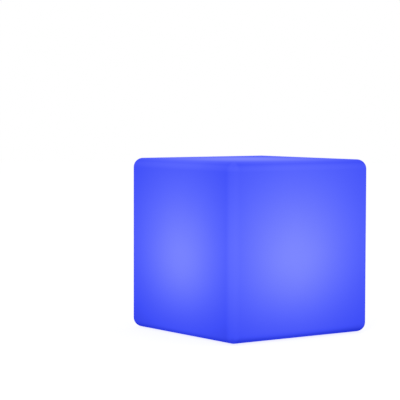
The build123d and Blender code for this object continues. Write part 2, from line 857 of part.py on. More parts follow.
# ---------------------------------------------------------------- frosted dome
def dome_form(inset):
    """A solid of the dome's outer shape, or of its hollow if inset is the dome's wall."""
    foot = dome_radius - inset
    shoulder = dome_radius - dome_lean - inset
    crown = dome_crown_z - inset
    rise = crown - dome_shoulder_z
    ball = (shoulder**2 + rise**2) / (2 * rise)
    half_angle = math.asin(shoulder / ball) / 2
    middle = (ball * math.sin(half_angle), 0, crown - ball + ball * math.cos(half_angle))
    outline = Wire(
        [
            Line((0, 0, deck_top_z), (foot, 0, deck_top_z)),
            Line((foot, 0, deck_top_z), (shoulder, 0, dome_shoulder_z)),
            ThreePointArc((shoulder, 0, dome_shoulder_z), middle, (0, 0, crown)),
            Line((0, 0, crown), (0, 0, deck_top_z)),
        ]
    )
    form = revolve(Face(outline), Axis.Z)
    return fillet(circles_at(form, shoulder, dome_shoulder_z), dome_shoulder_radius - inset)


def diffuser_dome():
    """The frosted cover that spreads the LEDs' light, with the flange that its screws hold."""
    dome = dome_form(0) + disc(tub_radius, deck_top_z, dome_flange_top_z)
    dome -= dome_form(dome_wall)
    for x, y in dome_screw_places():
        dome -= disc(m3_radius + screw_hole_gap, deck_top_z - overcut, dome_flange_top_z + overcut, x, y)
    return dome


# ---------------------------------------------------------------- power button
def power_button():
    """The round button: a dished, skirted cap, and a stem that reaches up to the switch."""
    cap = disc(button_radius, button_face_z, button_flange_top_z, 0, button_y)
    cap = fillet(circles_at(cap, button_radius, button_face_z), button_edge)
    cap += disc(button_flange_radius, ledge_z, button_flange_top_z, 0, button_y)
    dish_z = button_face_z + button_dish - button_dish_radius
    cap -= Pos(0, button_y, dish_z) * Sphere(button_dish_radius)
    inside = button_face_z + button_dish + button_skin
    cap -= disc(button_radius - button_skin, inside, button_flange_top_z + overcut, 0, button_y)
    cap += disc(stem_radius, inside - button_skin / 2, stem_top_z, 0, button_y)
    grip = plunger_width + 2 * thread_gap
    return cap - block(grip, grip, stem_top_z - plunger_grip, stem_top_z + overcut, 0, button_y)


def button_retainer():
    """The plate screwed over the button's rim, with a collar that guides the stem."""
    top = retainer_z + retainer_thickness
    plate = disc(cup_radius, retainer_z, top, 0, button_y)
    for x, y in retainer_screw_places():
        plate += disc(retainer_ear_radius, retainer_z, top, x, y)
    plate += block(2 * retainer_screw_reach, 2 * retainer_ear_radius, retainer_z, top, 0, button_y)
    plate += disc(retainer_collar_radius, retainer_z, collar_top_z, 0, button_y)
    for x, y in retainer_screw_places():
        plate -= disc(m3_radius + screw_hole_gap, retainer_z - overcut, top + overcut, x, y)
    plate -= disc(stem_radius + stem_gap, retainer_z - overcut, collar_top_z + overcut, 0, button_y)
    seat = collar_top_z - seal_thickness
    return plate - disc(seal_radius + seal_gap, seat, collar_top_z + overcut, 0, button_y)


def button_seal():
    """The silicone ring round the button's stem, in the retainer's collar."""
    low = collar_top_z - seal_thickness
    return tube(seal_radius, stem_radius + seal_gap, low, collar_top_z, 0, button_y)


def switch_plunger():
    """The switch's square plunger, pushed into the end of the button's stem."""
    top = switch_z + plunger_inside
    return block(plunger_width, plunger_width, stem_top_z - plunger_grip, top, 0, button_y)


def push_switch():
    """The push switch under the driver board, with the pocket that its plunger slides in."""
    body = block(switch_width, switch_width, switch_z, board_z, 0, button_y)
    pocket = plunger_width + 2 * plunger_gap
    reach = switch_z + plunger_inside + button_travel + plunger_gap
    return body - block(pocket, pocket, switch_z - overcut, reach, 0, button_y)


# ---------------------------------------------------------------- charging jack
def charging_jack():
    """The barrel jack: an outer flange, a threaded barrel and a blind bore for the plug."""
    jack = disc(jack_flange_radius, jack_mouth_z, port_z, 0, jack_y)
    jack += disc(jack_barrel_radius, port_z, jack_back_z, 0, jack_y)
    jack -= disc(jack_bore_radius, jack_mouth_z - overcut, jack_mouth_z + jack_bore_depth, 0, jack_y)
    return jack - disc(pin_radius + moulded_gap, jack_mouth_z, jack_back_z + overcut, 0, jack_y)


def jack_pin():
    """The jack's centre pin, which runs out at the back as a solder tag."""
    pin = disc(pin_radius, jack_mouth_z + pin_setback, jack_back_z, 0, jack_y)
    return pin + block(tag_width, tag_thickness, jack_back_z, jack_back_z + tag_length, 0, jack_y)


def jack_nut():
    """The hexagon nut that pulls the jack against the housing."""
    low = floor_z + washer_thickness
    hexagon = RegularPolygon(nut_across_flats / 2, 6, major_radius=False)
    nut = extrude(Pos(0, jack_y, low) * hexagon, amount=nut_thickness)
    hole = jack_barrel_radius + thread_gap
    return nut - disc(hole, low - overcut, low + nut_thickness + overcut, 0, jack_y)


def jack_washer():
    """The rubber washer under the nut."""
    hole = jack_barrel_radius + thread_gap
    return tube(washer_radius, hole, floor_z, floor_z + washer_thickness, 0, jack_y)


# ---------------------------------------------------------------- charging port cover
def port_cover():
    """The rubber cover over the jack: a disc with a plug, half a strap, and a tab to pull."""
    start = hinge_x + hinge_gap / 2
    reach = cover_radius + cover_tab_length
    outline = Pos(0, jack_y) * Circle(cover_radius)
    outline += Pos(start / 2, jack_y) * Rectangle(abs(start), strap_width)
    outline += Pos(reach / 2, jack_y) * Rectangle(reach, cover_tab_width)
    cover = extrude(Pos(0, 0, cover_low_z) * outline, amount=cover_thickness)
    nub_top = cover_top_z + cover_nub_length
    return cover + disc(cover_nub_radius, cover_top_z - cover_thickness / 2, nub_top, 0, jack_y)


def port_cover_anchor():
    """The fixed end of the strap: a pad, and a stem with a barb that is pulled through."""
    end = hinge_x - hinge_gap / 2
    pad = Pos(anchor_x, jack_y) * Circle(anchor_pad_radius)
    pad += Pos((anchor_x + end) / 2, jack_y) * Rectangle(end - anchor_x, strap_width)
    anchor = extrude(Pos(0, 0, cover_low_z) * pad, amount=port_z - cover_low_z)
    anchor += disc(anchor_stem_radius, port_z, floor_z, anchor_x, jack_y)
    barb = Cone(anchor_barb_radius, anchor_tip_radius, anchor_barb_height, align=LOW)
    return anchor + Pos(anchor_x, jack_y, floor_z) * barb


# ---------------------------------------------------------------- charge indicator
def charge_light_pipe():
    """The clear rod that shows the charging lamp's colour on the outside."""
    pipe = disc(pipe_radius, face_z, board_z - charge_led_height - pipe_air, pipe_x, pipe_y)
    return pipe + disc(pipe_collar_radius, floor_z, floor_z + pipe_collar_height, pipe_x, pipe_y)


def charge_led():
    """The two-colour charging lamp under the driver board."""
    return block(charge_led_size, charge_led_size, board_z - charge_led_height, board_z, pipe_x, pipe_y)


# ---------------------------------------------------------------- every node by its name
def nodes():
    clamp_screw_z = battery_z + clamp_thickness
    retainer_screw_z = retainer_z + retainer_thickness
    return {
        "cube_shell": cube_shell(),
        "threaded_inserts": all_of([threaded_insert(x, y) for x, y in flange_screw_places()]),
        "rubber_feet": all_of([rubber_foot(x, y) for x, y in foot_places()]),
        "flange_gasket": flange_gasket(),
        "flange_screws": flange_screws(),
        "module_housing": module_housing(),
        "battery_cells": battery_cells(),
        "battery_links": battery_links(),
        "battery_wrap": battery_wrap(),
        "battery_foam": battery_foam(),
        "battery_clamp": battery_clamp(),
        "clamp_screws": small_screws(clamp_screw_places(), clamp_screw_z, m3_length),
        "main_board": main_board(),
        "board_screws": small_screws(post_places(), board_top_z, m3_length),
        "driver_chips": driver_chips(),
        "power_inductor": power_inductor(),
        "capacitors": capacitors(),
        "board_connectors": all_of([board_connector(*place) for place in connector_places()]),
        "lead_plugs": all_of([lead_plug(*place) for place in connector_places()]),
        "battery_leads": battery_leads(),
        "jack_leads": jack_leads(),
        "led_harness": led_harness(),
        "deck_plate": deck_plate(),
        "led_board": led_board(),
        "led_board_screws": small_screws(led_screw_places(), led_board_top_z, m3_short_length),
        "colour_leds": colour_leds(),
        "remote_receiver": remote_receiver(),
        "diffuser_dome": diffuser_dome(),
        "dome_screws": small_screws(dome_screw_places(), dome_flange_top_z, m3_length),
        "power_button": power_button(),
        "button_retainer": button_retainer(),
        "retainer_screws": small_screws(retainer_screw_places(), retainer_screw_z, m3_short_length),
        "button_seal": button_seal(),
        "switch_plunger": switch_plunger(),
        "push_switch": push_switch(),
        "charging_jack": charging_jack(),
        "jack_pin": jack_pin(),
        "jack_nut": jack_nut(),
        "jack_washer": jack_washer(),
        "port_cover": port_cover(),
        "port_cover_anchor": port_cover_anchor(),
        "charge_light_pipe": charge_light_pipe(),
        "charge_led": charge_led(),
    }


os.makedirs("parts", exist_ok=True)
for name, shape in nodes().items():
    export_step(shape, f"parts/{name}.step")
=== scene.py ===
# %% [markdown]
# # A glowing cube light, built as a lesson
# The real object is a hollow cube of milky polyethylene, 400 mm each way, that colour LEDs
# fill with blue light. Under it, in a round well, sits the light module: a plastic housing
# with six screws, a power button and a charging socket under a rubber cover.
#
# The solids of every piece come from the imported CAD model, which is loaded here as a fixed
# frame. Each cell below adds a surface or a finish to it, and says why it was made that way.

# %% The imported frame
import math
import bpy
import numpy as np
from mathutils import Matrix, Vector
from mathutils.geometry import delaunay_2d_cdt


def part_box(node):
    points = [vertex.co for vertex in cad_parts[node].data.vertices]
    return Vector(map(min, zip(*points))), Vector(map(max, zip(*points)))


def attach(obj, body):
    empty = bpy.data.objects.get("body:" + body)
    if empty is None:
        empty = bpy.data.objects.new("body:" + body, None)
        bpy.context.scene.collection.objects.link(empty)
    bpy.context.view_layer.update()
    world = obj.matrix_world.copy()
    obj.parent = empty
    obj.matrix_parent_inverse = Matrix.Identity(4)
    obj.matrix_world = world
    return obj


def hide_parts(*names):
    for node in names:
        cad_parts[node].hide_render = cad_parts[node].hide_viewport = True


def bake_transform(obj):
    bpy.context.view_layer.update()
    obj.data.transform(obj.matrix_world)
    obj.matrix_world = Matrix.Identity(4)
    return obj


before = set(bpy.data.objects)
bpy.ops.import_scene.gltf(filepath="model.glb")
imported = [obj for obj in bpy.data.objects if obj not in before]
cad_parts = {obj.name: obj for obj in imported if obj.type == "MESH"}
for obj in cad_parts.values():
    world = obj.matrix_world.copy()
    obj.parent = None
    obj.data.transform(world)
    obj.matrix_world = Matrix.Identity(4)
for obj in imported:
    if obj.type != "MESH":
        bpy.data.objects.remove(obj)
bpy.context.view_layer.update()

# %% [markdown]
# ## Tools: colours and nodes
# Colours are written as the hex values that a paint or screen designer would use. Blender
# works with linear light, so one function turns them round. One more function adds a shader
# node, sets it and links it, so that a material reads from top to bottom like a recipe.

# %% Colours and nodes
MM = 0.001                      # the CAD sizes below are in millimetres, Blender's in metres


def linear(hex_colour):
    """sRGB hex to linear: c / 12.92 for a channel c up to 0.04045, else ((c + 0.055) / 1.055) ^ 2.4."""
    channels = np.array([int(hex_colour[i:i + 2], 16) for i in (1, 3, 5)]) / 255
    low, high = channels / 12.92, ((channels + 0.055) / 1.055) ** 2.4
    return (*np.where(channels <= 0.04045, low, high).tolist(), 1.0)


def add(tree, kind, inputs=(), **settings):
    """Adds one node: values or links for its sockets, by name or in order, and its settings. The
    setting `stops` gives a colour ramp its places and colours."""
    node = tree.nodes.new("ShaderNode" + kind)
    for name, value in settings.items():
        if name != "stops":
            setattr(node, name, value)
            continue
        ramp = node.color_ramp.elements
        while len(ramp) < len(value):
            ramp.new(0.5)
        for stop, (place, colour) in zip(ramp, value):
            stop.position, stop.color = place, colour
    for name, value in inputs.items() if isinstance(inputs, dict) else enumerate(inputs):
        value = value.outputs[0] if isinstance(value, bpy.types.Node) else value
        if isinstance(value, bpy.types.NodeSocket):
            tree.links.new(value, node.inputs[name])
        else:
            node.inputs[name].default_value = value
    return node


def new_material(name):
    """An empty material and its node tree."""
    material = bpy.data.materials.new(name)
    material.use_nodes = True
    material.node_tree.nodes.clear()
    return material, material.node_tree


def new_object(name, data):
    """An object that holds the data, in the scene."""
    made = bpy.data.objects.new(name, data)
    bpy.context.scene.collection.objects.link(made)
    return made


print("hex #808080 is linear", round(linear("#808080")[0], 4))

# %% [markdown]
# ## Tools: surfaces
# Every new piece is a surface worked out with numpy. A lathe turns a profile about an upright
# line, a sweep carries a small outline along a path, and a flat plate with holes is filled
# with triangles between its outlines. Where two surfaces meet they use the same points, so
# welding them closes the skin. The profile of a lathe starts low on the axis and runs up the
# outside, so that its faces point outwards.

# %% Grids, lathes and sweeps
def grid_faces(rows, columns, wrap):
    """Quads over a grid of points that runs row by row; wrap joins the last column to the first."""
    row = np.arange(rows - 1)[:, None]
    column = np.arange(columns if wrap else columns - 1)[None, :]
    after = (column + 1) % columns
    corners = [row * columns + column, row * columns + after]
    corners += [(row + 1) * columns + after, (row + 1) * columns + column]
    return np.stack(corners, -1).reshape(-1, 4)


def rounded(corners, radii, steps=6):
    """A profile whose corners are arcs. An arc of radius R touches both sides at R / tan(h) from
    its corner, where h is half the corner's angle, and its centre is R / sin(h) from it."""
    corners = np.array(corners, float)
    points = [corners[:1]]
    for before, corner, after, radius in zip(corners, corners[1:], corners[2:], radii[1:]):
        if radius == 0:
            points.append(corner[None])
            continue
        a, b = ((end - corner) / np.linalg.norm(end - corner) for end in (before, after))
        half = math.acos(np.clip(a @ b, -1, 1)) / 2
        centre = corner + (a + b) / np.linalg.norm(a + b) * radius / math.sin(half)
        start, end = (corner + side * radius / math.tan(half) - centre for side in (a, b))
        sweep_angle = math.pi - 2 * half
        share = np.linspace(0, 1, steps + 1)[:, None]
        arc = np.sin((1 - share) * sweep_angle) * start + np.sin(share * sweep_angle) * end
        points.append(centre + arc / math.sin(sweep_angle))
    return np.concatenate(points + [corners[-1:]])


def circle(radius, around, x=0.0, y=0.0, first=0.0):
    """Points (x + r cos a, y + r sin a) at even angles a, from the angle `first` in degrees."""
    angle = np.radians(first + np.arange(around) * 360 / around)
    return np.stack([x + radius * np.cos(angle), y + radius * np.sin(angle)], -1)


def corners_of(x, y):
    """The four places (+-x, +-y)."""
    return [(a, b) for a in (-x, x) for b in (-y, y)]


def lathe(profile, around):
    """A surface of revolution: each (r, z) of the profile becomes a circle of radius r at height z."""
    return stack_of([(circle(radius, around), height) for radius, height in profile])


def box_ring(half_x, half_y, count=32):
    """A ring round a rectangle, from the middle of its right side, straight from corner to corner."""
    t = np.arange(count) * 8 / count
    x = np.interp(t, [0, 1, 3, 5, 7, 8], [1, 1, -1, -1, 1, 1])
    y = np.interp(t, [0, 1, 3, 5, 7, 8], [0, 1, 1, -1, -1, 0])
    return np.stack([x * half_x, y * half_y], -1)


def stack_of(rings):
    """Rings at their own heights, joined to one skin; a ring of radius 0 closes an end."""
    points = [np.column_stack([ring, np.broadcast_to(z, len(ring))]) for ring, z in rings]
    return np.concatenate(points), [grid_faces(len(rings), len(rings[0][0]), True)]


def placed(surface, places, height=0.0, downwards=False):
    """Copies of a surface at places (x, y) or (x, y, degrees about the upright axis), each half
    turned about X first if it points downwards."""
    points, groups = surface
    copies = []
    for x, y, *degrees in places:
        cos, sin = (f(math.radians(sum(degrees))) for f in (math.cos, math.sin))
        turn = np.array([[cos, sin, 0], [-sin, cos, 0], [0, 0, 1]])
        copies.append((points * ((1, -1, -1) if downwards else 1) @ turn + (x, y, height), groups))
    return copies


def thread_wave(turn, height, pitch):
    """1 on a thread's crest and 0 in its root: a triangle wave of z / pitch - a / (2 pi), a helix."""
    wave = height / pitch - turn / (2 * np.pi)
    return 1 - np.abs(2 * (wave - np.floor(wave)) - 1)


def sweep(path, outline, up):
    """Carries a closed outline (a, b) along a path: p + a (up x t) + b up, with t the path's
    direction. Both ends shrink to a point, which closes them."""
    path, outline, up = (np.asarray(v, float) for v in (path, outline, up))
    along = np.gradient(path, axis=0)
    side = np.cross(up, along)
    side /= np.linalg.norm(side, axis=1, keepdims=True)
    rings = path[:, None] + outline[None, :, :1] * side[:, None] + outline[None, :, 1:] * up
    middle = outline.mean(0)
    ends = [path[i] + middle[0] * side[i] + middle[1] * up for i in (0, -1)]
    caps = [np.tile(end, (1, len(outline), 1)) for end in ends]
    points = np.concatenate([caps[0], rings, caps[1]])
    return points.reshape(-1, 3), [grid_faces(len(path) + 2, len(outline), True)]


def plate(loops, height, faces_up, holes):
    """A flat sheet between closed outlines at one height: Delaunay triangles over their points,
    without those whose middle lies in a hole, given as (x, y, radius)."""
    starts = np.cumsum([0] + [len(loop) for loop in loops])
    edges = []
    for start, loop in zip(starts.tolist(), loops):
        edges += [(start + i, start + (i + 1) % len(loop)) for i in range(len(loop))]
    points = np.concatenate(loops)
    found = delaunay_2d_cdt([Vector(point) for point in points.tolist()], edges, [], 1, 1e-7)
    points = points[[originals[0] for originals in found[3]]]
    triangles = np.array(found[2])
    middles = points[triangles].mean(1)
    kept = np.ones(len(triangles), bool)
    for x, y, radius in holes:
        kept &= np.hypot(middles[:, 0] - x, middles[:, 1] - y) > radius
    triangles = triangles[kept] if faces_up else triangles[kept][:, ::-1]
    return np.column_stack([points, np.full(len(points), height)]), [triangles]


# %% Welding and making a piece
def weld(parts):
    """Joins surfaces: points within a micrometre become one, and a quad that has two of its
    corners there becomes a triangle."""
    starts = np.cumsum([0] + [len(points) for points, _ in parts])
    points = np.concatenate([points for points, _ in parts])
    keys = np.round(points * 1000 + 0.1237).astype(np.int64)
    _, first, number = np.unique(keys, axis=0, return_index=True, return_inverse=True)
    number = number.reshape(-1)
    triangles, quads = [], []
    for start, (_, groups) in zip(starts, parts):
        for group in groups:
            group = number[group + start]
            if group.shape[1] == 4:
                same = group == np.roll(group, -1, axis=1)
                doubled = same.sum(1)
                quads.append(group[doubled == 0])
                group = group[doubled == 1][~same[doubled == 1]].reshape(-1, 3)
            if len(group):
                triangles.append(group)
    return points[first], [np.concatenate(g) for g in (triangles, quads) if len(g)]


def volume_of(points, groups):
    """Enclosed volume: the sum of p0 . (p1 x p2) / 6 over triangles, positive if they face outwards."""
    total = 0.0
    for group in groups:
        corners = points[group]
        for i in range(1, group.shape[1] - 1):
            total += (corners[:, 0] * np.cross(corners[:, i], corners[:, i + 1])).sum() / 6
    return total


def dress(material, *nodes):
    """Gives CAD nodes a material, without touching their shapes."""
    for name in nodes:
        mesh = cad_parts[name].data
        if not mesh.materials:
            mesh.materials.append(material)
        for i in range(len(mesh.materials)):
            mesh.materials[i] = material


def make_piece(name, parts, material, replaces=(), sharp=38.0, body="cube"):
    """A finished piece: welded, smooth but for edges over `sharp` degrees, riding on its body. The
    CAD nodes that it stands for get the same material."""
    points, groups = weld(parts)
    mesh = bpy.data.meshes.new(name)
    faces = [face for group in groups for face in group.tolist()]
    mesh.from_pydata((points * MM).tolist(), [], faces)
    mesh.shade_smooth()
    mesh.set_sharp_from_angle(angle=math.radians(sharp))
    mesh.materials.append(material)
    piece = new_object(name, mesh)
    even = piece.modifiers.new("even_normals", "WEIGHTED_NORMAL")
    even.keep_sharp = True
    if body:
        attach(piece, body)
    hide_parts(*replaces)
    dress(material, *replaces)
    edges = [np.stack([g, np.roll(g, -1, 1)], -1).reshape(-1, 2) for g in groups]
    _, uses = np.unique(np.sort(np.concatenate(edges), 1), axis=0, return_counts=True)
    volume = volume_of(points, groups) / 1000
    print(f"{name}: {len(faces)} faces, {volume:.2f} cm3, {(uses != 2).sum()} open edges")
    return piece


# %% [markdown]
# ## Camera
# The camera comes first, so that every piece can be judged from where the photograph was
# taken. Its place was found by fitting the outline of a 400 mm cube with rounded edges to the
# photographed outline: it stands about 3.9 m away, a hand's breadth above the cube's top, so
# that the top face shows as a thin sliver, and it looks 36 degrees to the right of the cube's
# own axis. The lens is long, so the edges hardly converge.

# %% Camera
YAW, PITCH, ROLL = (math.radians(degrees) for degrees in (36.05, -3.19, 0.14))
CAMERA_PLACE = (-2.358, -3.046, 0.5197)  # metres
LENS, SENSOR = 148.3, 36.0      # mm

forward = [math.sin(YAW) * math.cos(PITCH), math.cos(YAW) * math.cos(PITCH), math.sin(PITCH)]
level = np.array([math.cos(YAW), -math.sin(YAW), 0.0])
upward = np.cross(level, forward)
right = math.cos(ROLL) * level + math.sin(ROLL) * upward
upward = -math.sin(ROLL) * level + math.cos(ROLL) * upward
camera_data = bpy.data.cameras.new("camera")
camera_data.lens, camera_data.sensor_width, camera_data.clip_end = LENS, SENSOR, 100.0
camera = new_object("camera", camera_data)
axes = Matrix(np.column_stack([right, upward, np.negative(forward)]).tolist()).to_4x4()
camera.matrix_world = Matrix.Translation(CAMERA_PLACE) @ axes
bpy.context.scene.camera = camera
bpy.context.scene.view_settings.view_transform = "Standard"
print("camera distance to the cube:", round(math.hypot(*CAMERA_PLACE[:2]), 3), "m")

# %% [markdown]
# ## Finishes
# Most pieces are moulded plastic, rubber or metal. Each finish starts from what the material
# is and how its surface was made. One recipe covers them: a base colour with a slight blotch,
# a roughness that varies a little, and a fine relief; a clear piece also lets light through.
# The grain's size is given in real millimetres, and a noise texture on Object coordinates
# needs one over that size in metres.

# %% The recipe for a finish
def finish(
    name, colour, second, rough, grain, relief,
    ior=1.5, metal=0.0, level=0.5, coat=0.0, blotch=14.0, clear=0.0, glow=0.0,
):
    """Two close colours mixed by a soft noise of `blotch` mm, a roughness between rough's two
    values, and a bump of `relief` mm whose grains are `grain` mm wide. `clear` is the share of
    light that passes, and `glow` the blue light that a lit piece holds itself."""
    material, tree = new_material(name)
    place = add(tree, "TexCoord").outputs["Object"]
    cloud = add(tree, "TexNoise", {"Vector": place, "Scale": 1 / (blotch * MM), "Detail": 3.0})
    tones = [(0.35, linear(colour)), (0.65, linear(second))]
    tint = add(tree, "ValToRGB", {"Fac": cloud}, stops=tones)
    grit = add(tree, "TexNoise", {"Vector": place, "Scale": 1 / (grain * MM), "Detail": 2.0})
    dull = add(tree, "MapRange", {
        "Value": grit, "From Min": 0.3, "From Max": 0.7, "To Min": rough[0], "To Max": rough[1],
    })
    bump = add(tree, "Bump", {"Height": grit, "Distance": relief * MM, "Strength": 1.0})
    shader = add(tree, "BsdfPrincipled", {
        "Base Color": tint, "Roughness": dull, "Normal": bump, "Metallic": metal, "IOR": ior,
        "Specular IOR Level": level, "Coat Weight": coat, "Coat Roughness": 0.15,
        "Transmission Weight": clear, "Emission Color": linear("#4555E7"), "Emission Strength": glow,
    })
    add(tree, "OutputMaterial", {"Surface": shader})
    return material


# %% [markdown]
# ## The glowing skin: its light
# Rotomoulded polyethylene is milky and nearly matt. Light from the module's dome reaches its
# inside wall, is scattered in the 3 mm skin and leaves as an even glow. Tracing that would be
# slow and noisy, and lost in the exported model. So the glow is worked out from Object
# coordinates and the surface's normal, and stays with the object from every side. A lamp gives
# the skin cos(angle) / distance^p. A bare lamp has a p of 2; here it is less, because the dome is
# wide and the white walls hand the light on. The domed lamp shines less to the side and least
# straight down, as 1 + cos of the angle from the upright, and its middle lies a little off the
# axis. The rounded edges carry painted shade. It is least on the front left edge, where less
# shade stands in for a highlight, and it grows from there towards the back right. The edges at
# the top and the base carry a little more. The left wall carries painted shade too. A camera
# takes weak blue light as saturated blue and strong light as a paler one: a colour ramp. The skin
# has no gloss, because at a flat angle even a little of it would mirror the white surrounding.

# %% The glow's recipe
LAMP = (-23.2, -9.2, 133.3)     # mm: middle of the light that leaves the dome
SKIN_REACH = 200.0              # mm from the lamp's axis to a face's middle
FALL_OFF = 2.53                 # one more than the p above, because |n . v| holds a distance too
SCATTERED = 0.15                # light that is the same everywhere inside
PAINTED_LEFT_SHADE = 0.17               # painted shade: light that the left wall loses
PAINTED_EDGE_SHADE = 0.51               # painted shade: light that a rounded edge loses, on average
PAINTED_SHADE_DRIFT = (0.28, 0.22, -0.08)  # how that painted shade grows to the right, to the back and upwards
PAINTED_LEVEL_SHADE = 0.17               # how the painted shade grows for the edges at the top and the base
PAINTED_SHADE_MOST = 0.70                 # the most painted shade on an edge
BRIGHTEST = 1.404               # light at the top of the colour ramp
GLOW_TONES = (
    (0.00, "#000381"), (0.12, "#1D2BCB"), (0.28, "#3D4BF0"),
    (0.50, "#5662F6"), (1.00, "#7C85F7"),
)


def glowing_skin(name):
    """Principled polyethylene whose emission is a ramp of (1 + v.z / r) R^(f - 1) |n . v| / r^f, with
    scattered light added, v from the lamp, r its length and n the skin's normal. Painted shade on
    the left wall takes a share of n.x^6. Painted shade on an edge takes shade + drift . n, times
    sqrt(2 (1 - m^2)), with m the largest part of n."""
    material, tree = new_material(name)
    place = add(tree, "TexCoord").outputs["Object"]
    normal = add(tree, "NewGeometry").outputs["Normal"]
    ray = add(tree, "VectorMath", [place, tuple(v * MM for v in LAMP)], operation="SUBTRACT")
    sides = add(tree, "VectorMath", [normal], operation="ABSOLUTE")
    sides = add(tree, "SeparateXYZ", [sides]).outputs
    cloud = add(tree, "TexNoise", {"Vector": place, "Scale": 1 / (60 * MM), "Detail": 1.0})
    known = {
        "reach": add(tree, "VectorMath", [ray], operation="LENGTH").outputs["Value"],
        "rise": add(tree, "SeparateXYZ", [ray]).outputs["Z"],
        "facing": add(tree, "VectorMath", [ray, normal], operation="DOT_PRODUCT").outputs["Value"],
        "drift": add(tree, "VectorMath", [normal, PAINTED_SHADE_DRIFT], operation="DOT_PRODUCT").outputs["Value"],
        "thin": add(tree, "MapRange", {"Value": cloud, "To Min": 0.98, "To Max": 1.02}),
        "left": add(tree, "SeparateXYZ", [normal]).outputs["X"],
        "side x": sides["X"], "side y": sides["Y"], "side z": sides["Z"],
    }
    for result, operation, *values in (
        ("facing", "ABSOLUTE", "facing"),
        ("upright", "DIVIDE", "rise", "reach"),
        ("spread", "ADD", "upright", 1.0),
        ("fallen", "POWER", "reach", FALL_OFF),
        ("direct", "DIVIDE", "facing", "fallen"),
        ("direct", "MULTIPLY", "direct", "spread"),
        ("direct", "MULTIPLY", "direct", (SKIN_REACH * MM) ** (FALL_OFF - 1)),
        ("light", "MULTIPLY_ADD", "direct", "thin", SCATTERED),
        # painted shade: the left wall is darker, by a share of n.x^6
        ("left", "MINIMUM", "left", 0.0),
        ("left", "POWER", "left", 6.0),
        ("wall", "MULTIPLY_ADD", "left", -PAINTED_LEFT_SHADE, 1.0),
        ("light", "MULTIPLY", "light", "wall"),
        # painted shade: rounded edges are darker, least on the front left edge, where less shade stands in
        # for a highlight
        ("most", "MAXIMUM", "side x", "side y"),
        ("most", "MAXIMUM", "most", "side z"),
        ("square", "MULTIPLY", "most", "most"),
        ("edge", "SUBTRACT", 1.0, "square"),
        ("edge", "SQRT", "edge"),
        ("edge", "MULTIPLY", "edge", math.sqrt(2)),
        ("drift", "ADD", "drift", PAINTED_EDGE_SHADE),
        ("taken", "MULTIPLY_ADD", "side z", PAINTED_LEVEL_SHADE, "drift"),
        ("taken", "MINIMUM", "taken", PAINTED_SHADE_MOST),
        ("edge", "MULTIPLY", "edge", "taken"),
        ("edge", "SUBTRACT", 1.0, "edge"),
        ("light", "MULTIPLY", "light", "edge"),
        ("light", "MULTIPLY", "light", 1 / BRIGHTEST),
    ):
        known[result] = add(tree, "Math", [known.get(v, v) for v in values], operation=operation)
    tones = [(share, linear(colour)) for share, colour in GLOW_TONES]
    glow = add(tree, "ValToRGB", {"Fac": known["light"]}, stops=tones)
    peel = add(tree, "TexNoise", {"Vector": place, "Scale": 1 / (2.5 * MM), "Detail": 2.0})
    bump = add(tree, "Bump", {"Height": peel, "Distance": 0.03 * MM, "Strength": 1.0})
    shader = add(tree, "BsdfPrincipled", {
        "Base Color": linear("#101A50"), "Roughness": 0.55, "IOR": 1.51, "Specular IOR Level": 0.0,
        "Emission Color": glow, "Emission Strength": 1.0, "Normal": bump,
    })
    add(tree, "OutputMaterial", {"Surface": shader})
    return material


skin_finish = glowing_skin("milky_polyethylene_rotomoulded")

# %% [markdown]
# ## The glowing skin: its shape
# The mould leaves one closed skin: an outside with edges rounded to 22 mm, and 3 mm inside it
# the same shape again. A bevel on a box could give that, but here each point has a formula.
# A point q of a sharp cube is drawn towards c, the nearest point of a smaller cube, until it
# is one rounding away: p = c + R (q - c) / |q - c|. On the flats that changes nothing, along
# the edges it makes cylinders and at the corners balls. Even angles in the rounding come from
# steps of R tan(angle) on the sharp cube.

# %% Sizes of the skin
shell_low, shell_high = (np.array(v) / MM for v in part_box("cube_shell"))
HALF = (shell_high[0] - shell_low[0]) / 2
BASE_Z = shell_low[2]
CENTRE_Z = BASE_Z + HALF
EDGE, WALL = 22.0, 3.0
FLAT = HALF - EDGE
FLAT_STEPS, ARC_STEPS = 12, 6   # squares across a flat, and steps from a flat to an edge's middle
AROUND, AROUND_SMALL = 96, 32   # steps round the well, and round a foot or a screw
SEAT_Z = 17.4                   # the well's seat
WELL_RADIUS = 76.0              # of its wall, at the seat
OPENING = 56.0                  # radius of the hole in the seat
SEAT_RING, BASE_RING = 60.0, 95.0  # where the turned rims end and the flat plates begin
RECESS, RECESS_DEPTH = 13.4, 1.2  # a foot's recess
BOSS, BOSS_TOP = 6.5, 13.0      # radius of a boss for an insert, and its height over the seat
COLLAR, BARREL = 4.23, 3.13     # radii of the room for an insert's collar and barrel
COLLAR_ROOM, BARREL_ROOM = 0.83, 9.03  # and how far they reach up from the seat
CHAMFER = 0.8
LEAN_ANGLE = math.radians(3.0)
LEAN = math.tan(LEAN_ANGLE)
FEET = corners_of(138.0, 138.0)
SCREWS = circle(64.0, 6, first=30.0).tolist()
print("skin:", 2 * HALF, "mm wide, flat part", 2 * FLAT, "mm")


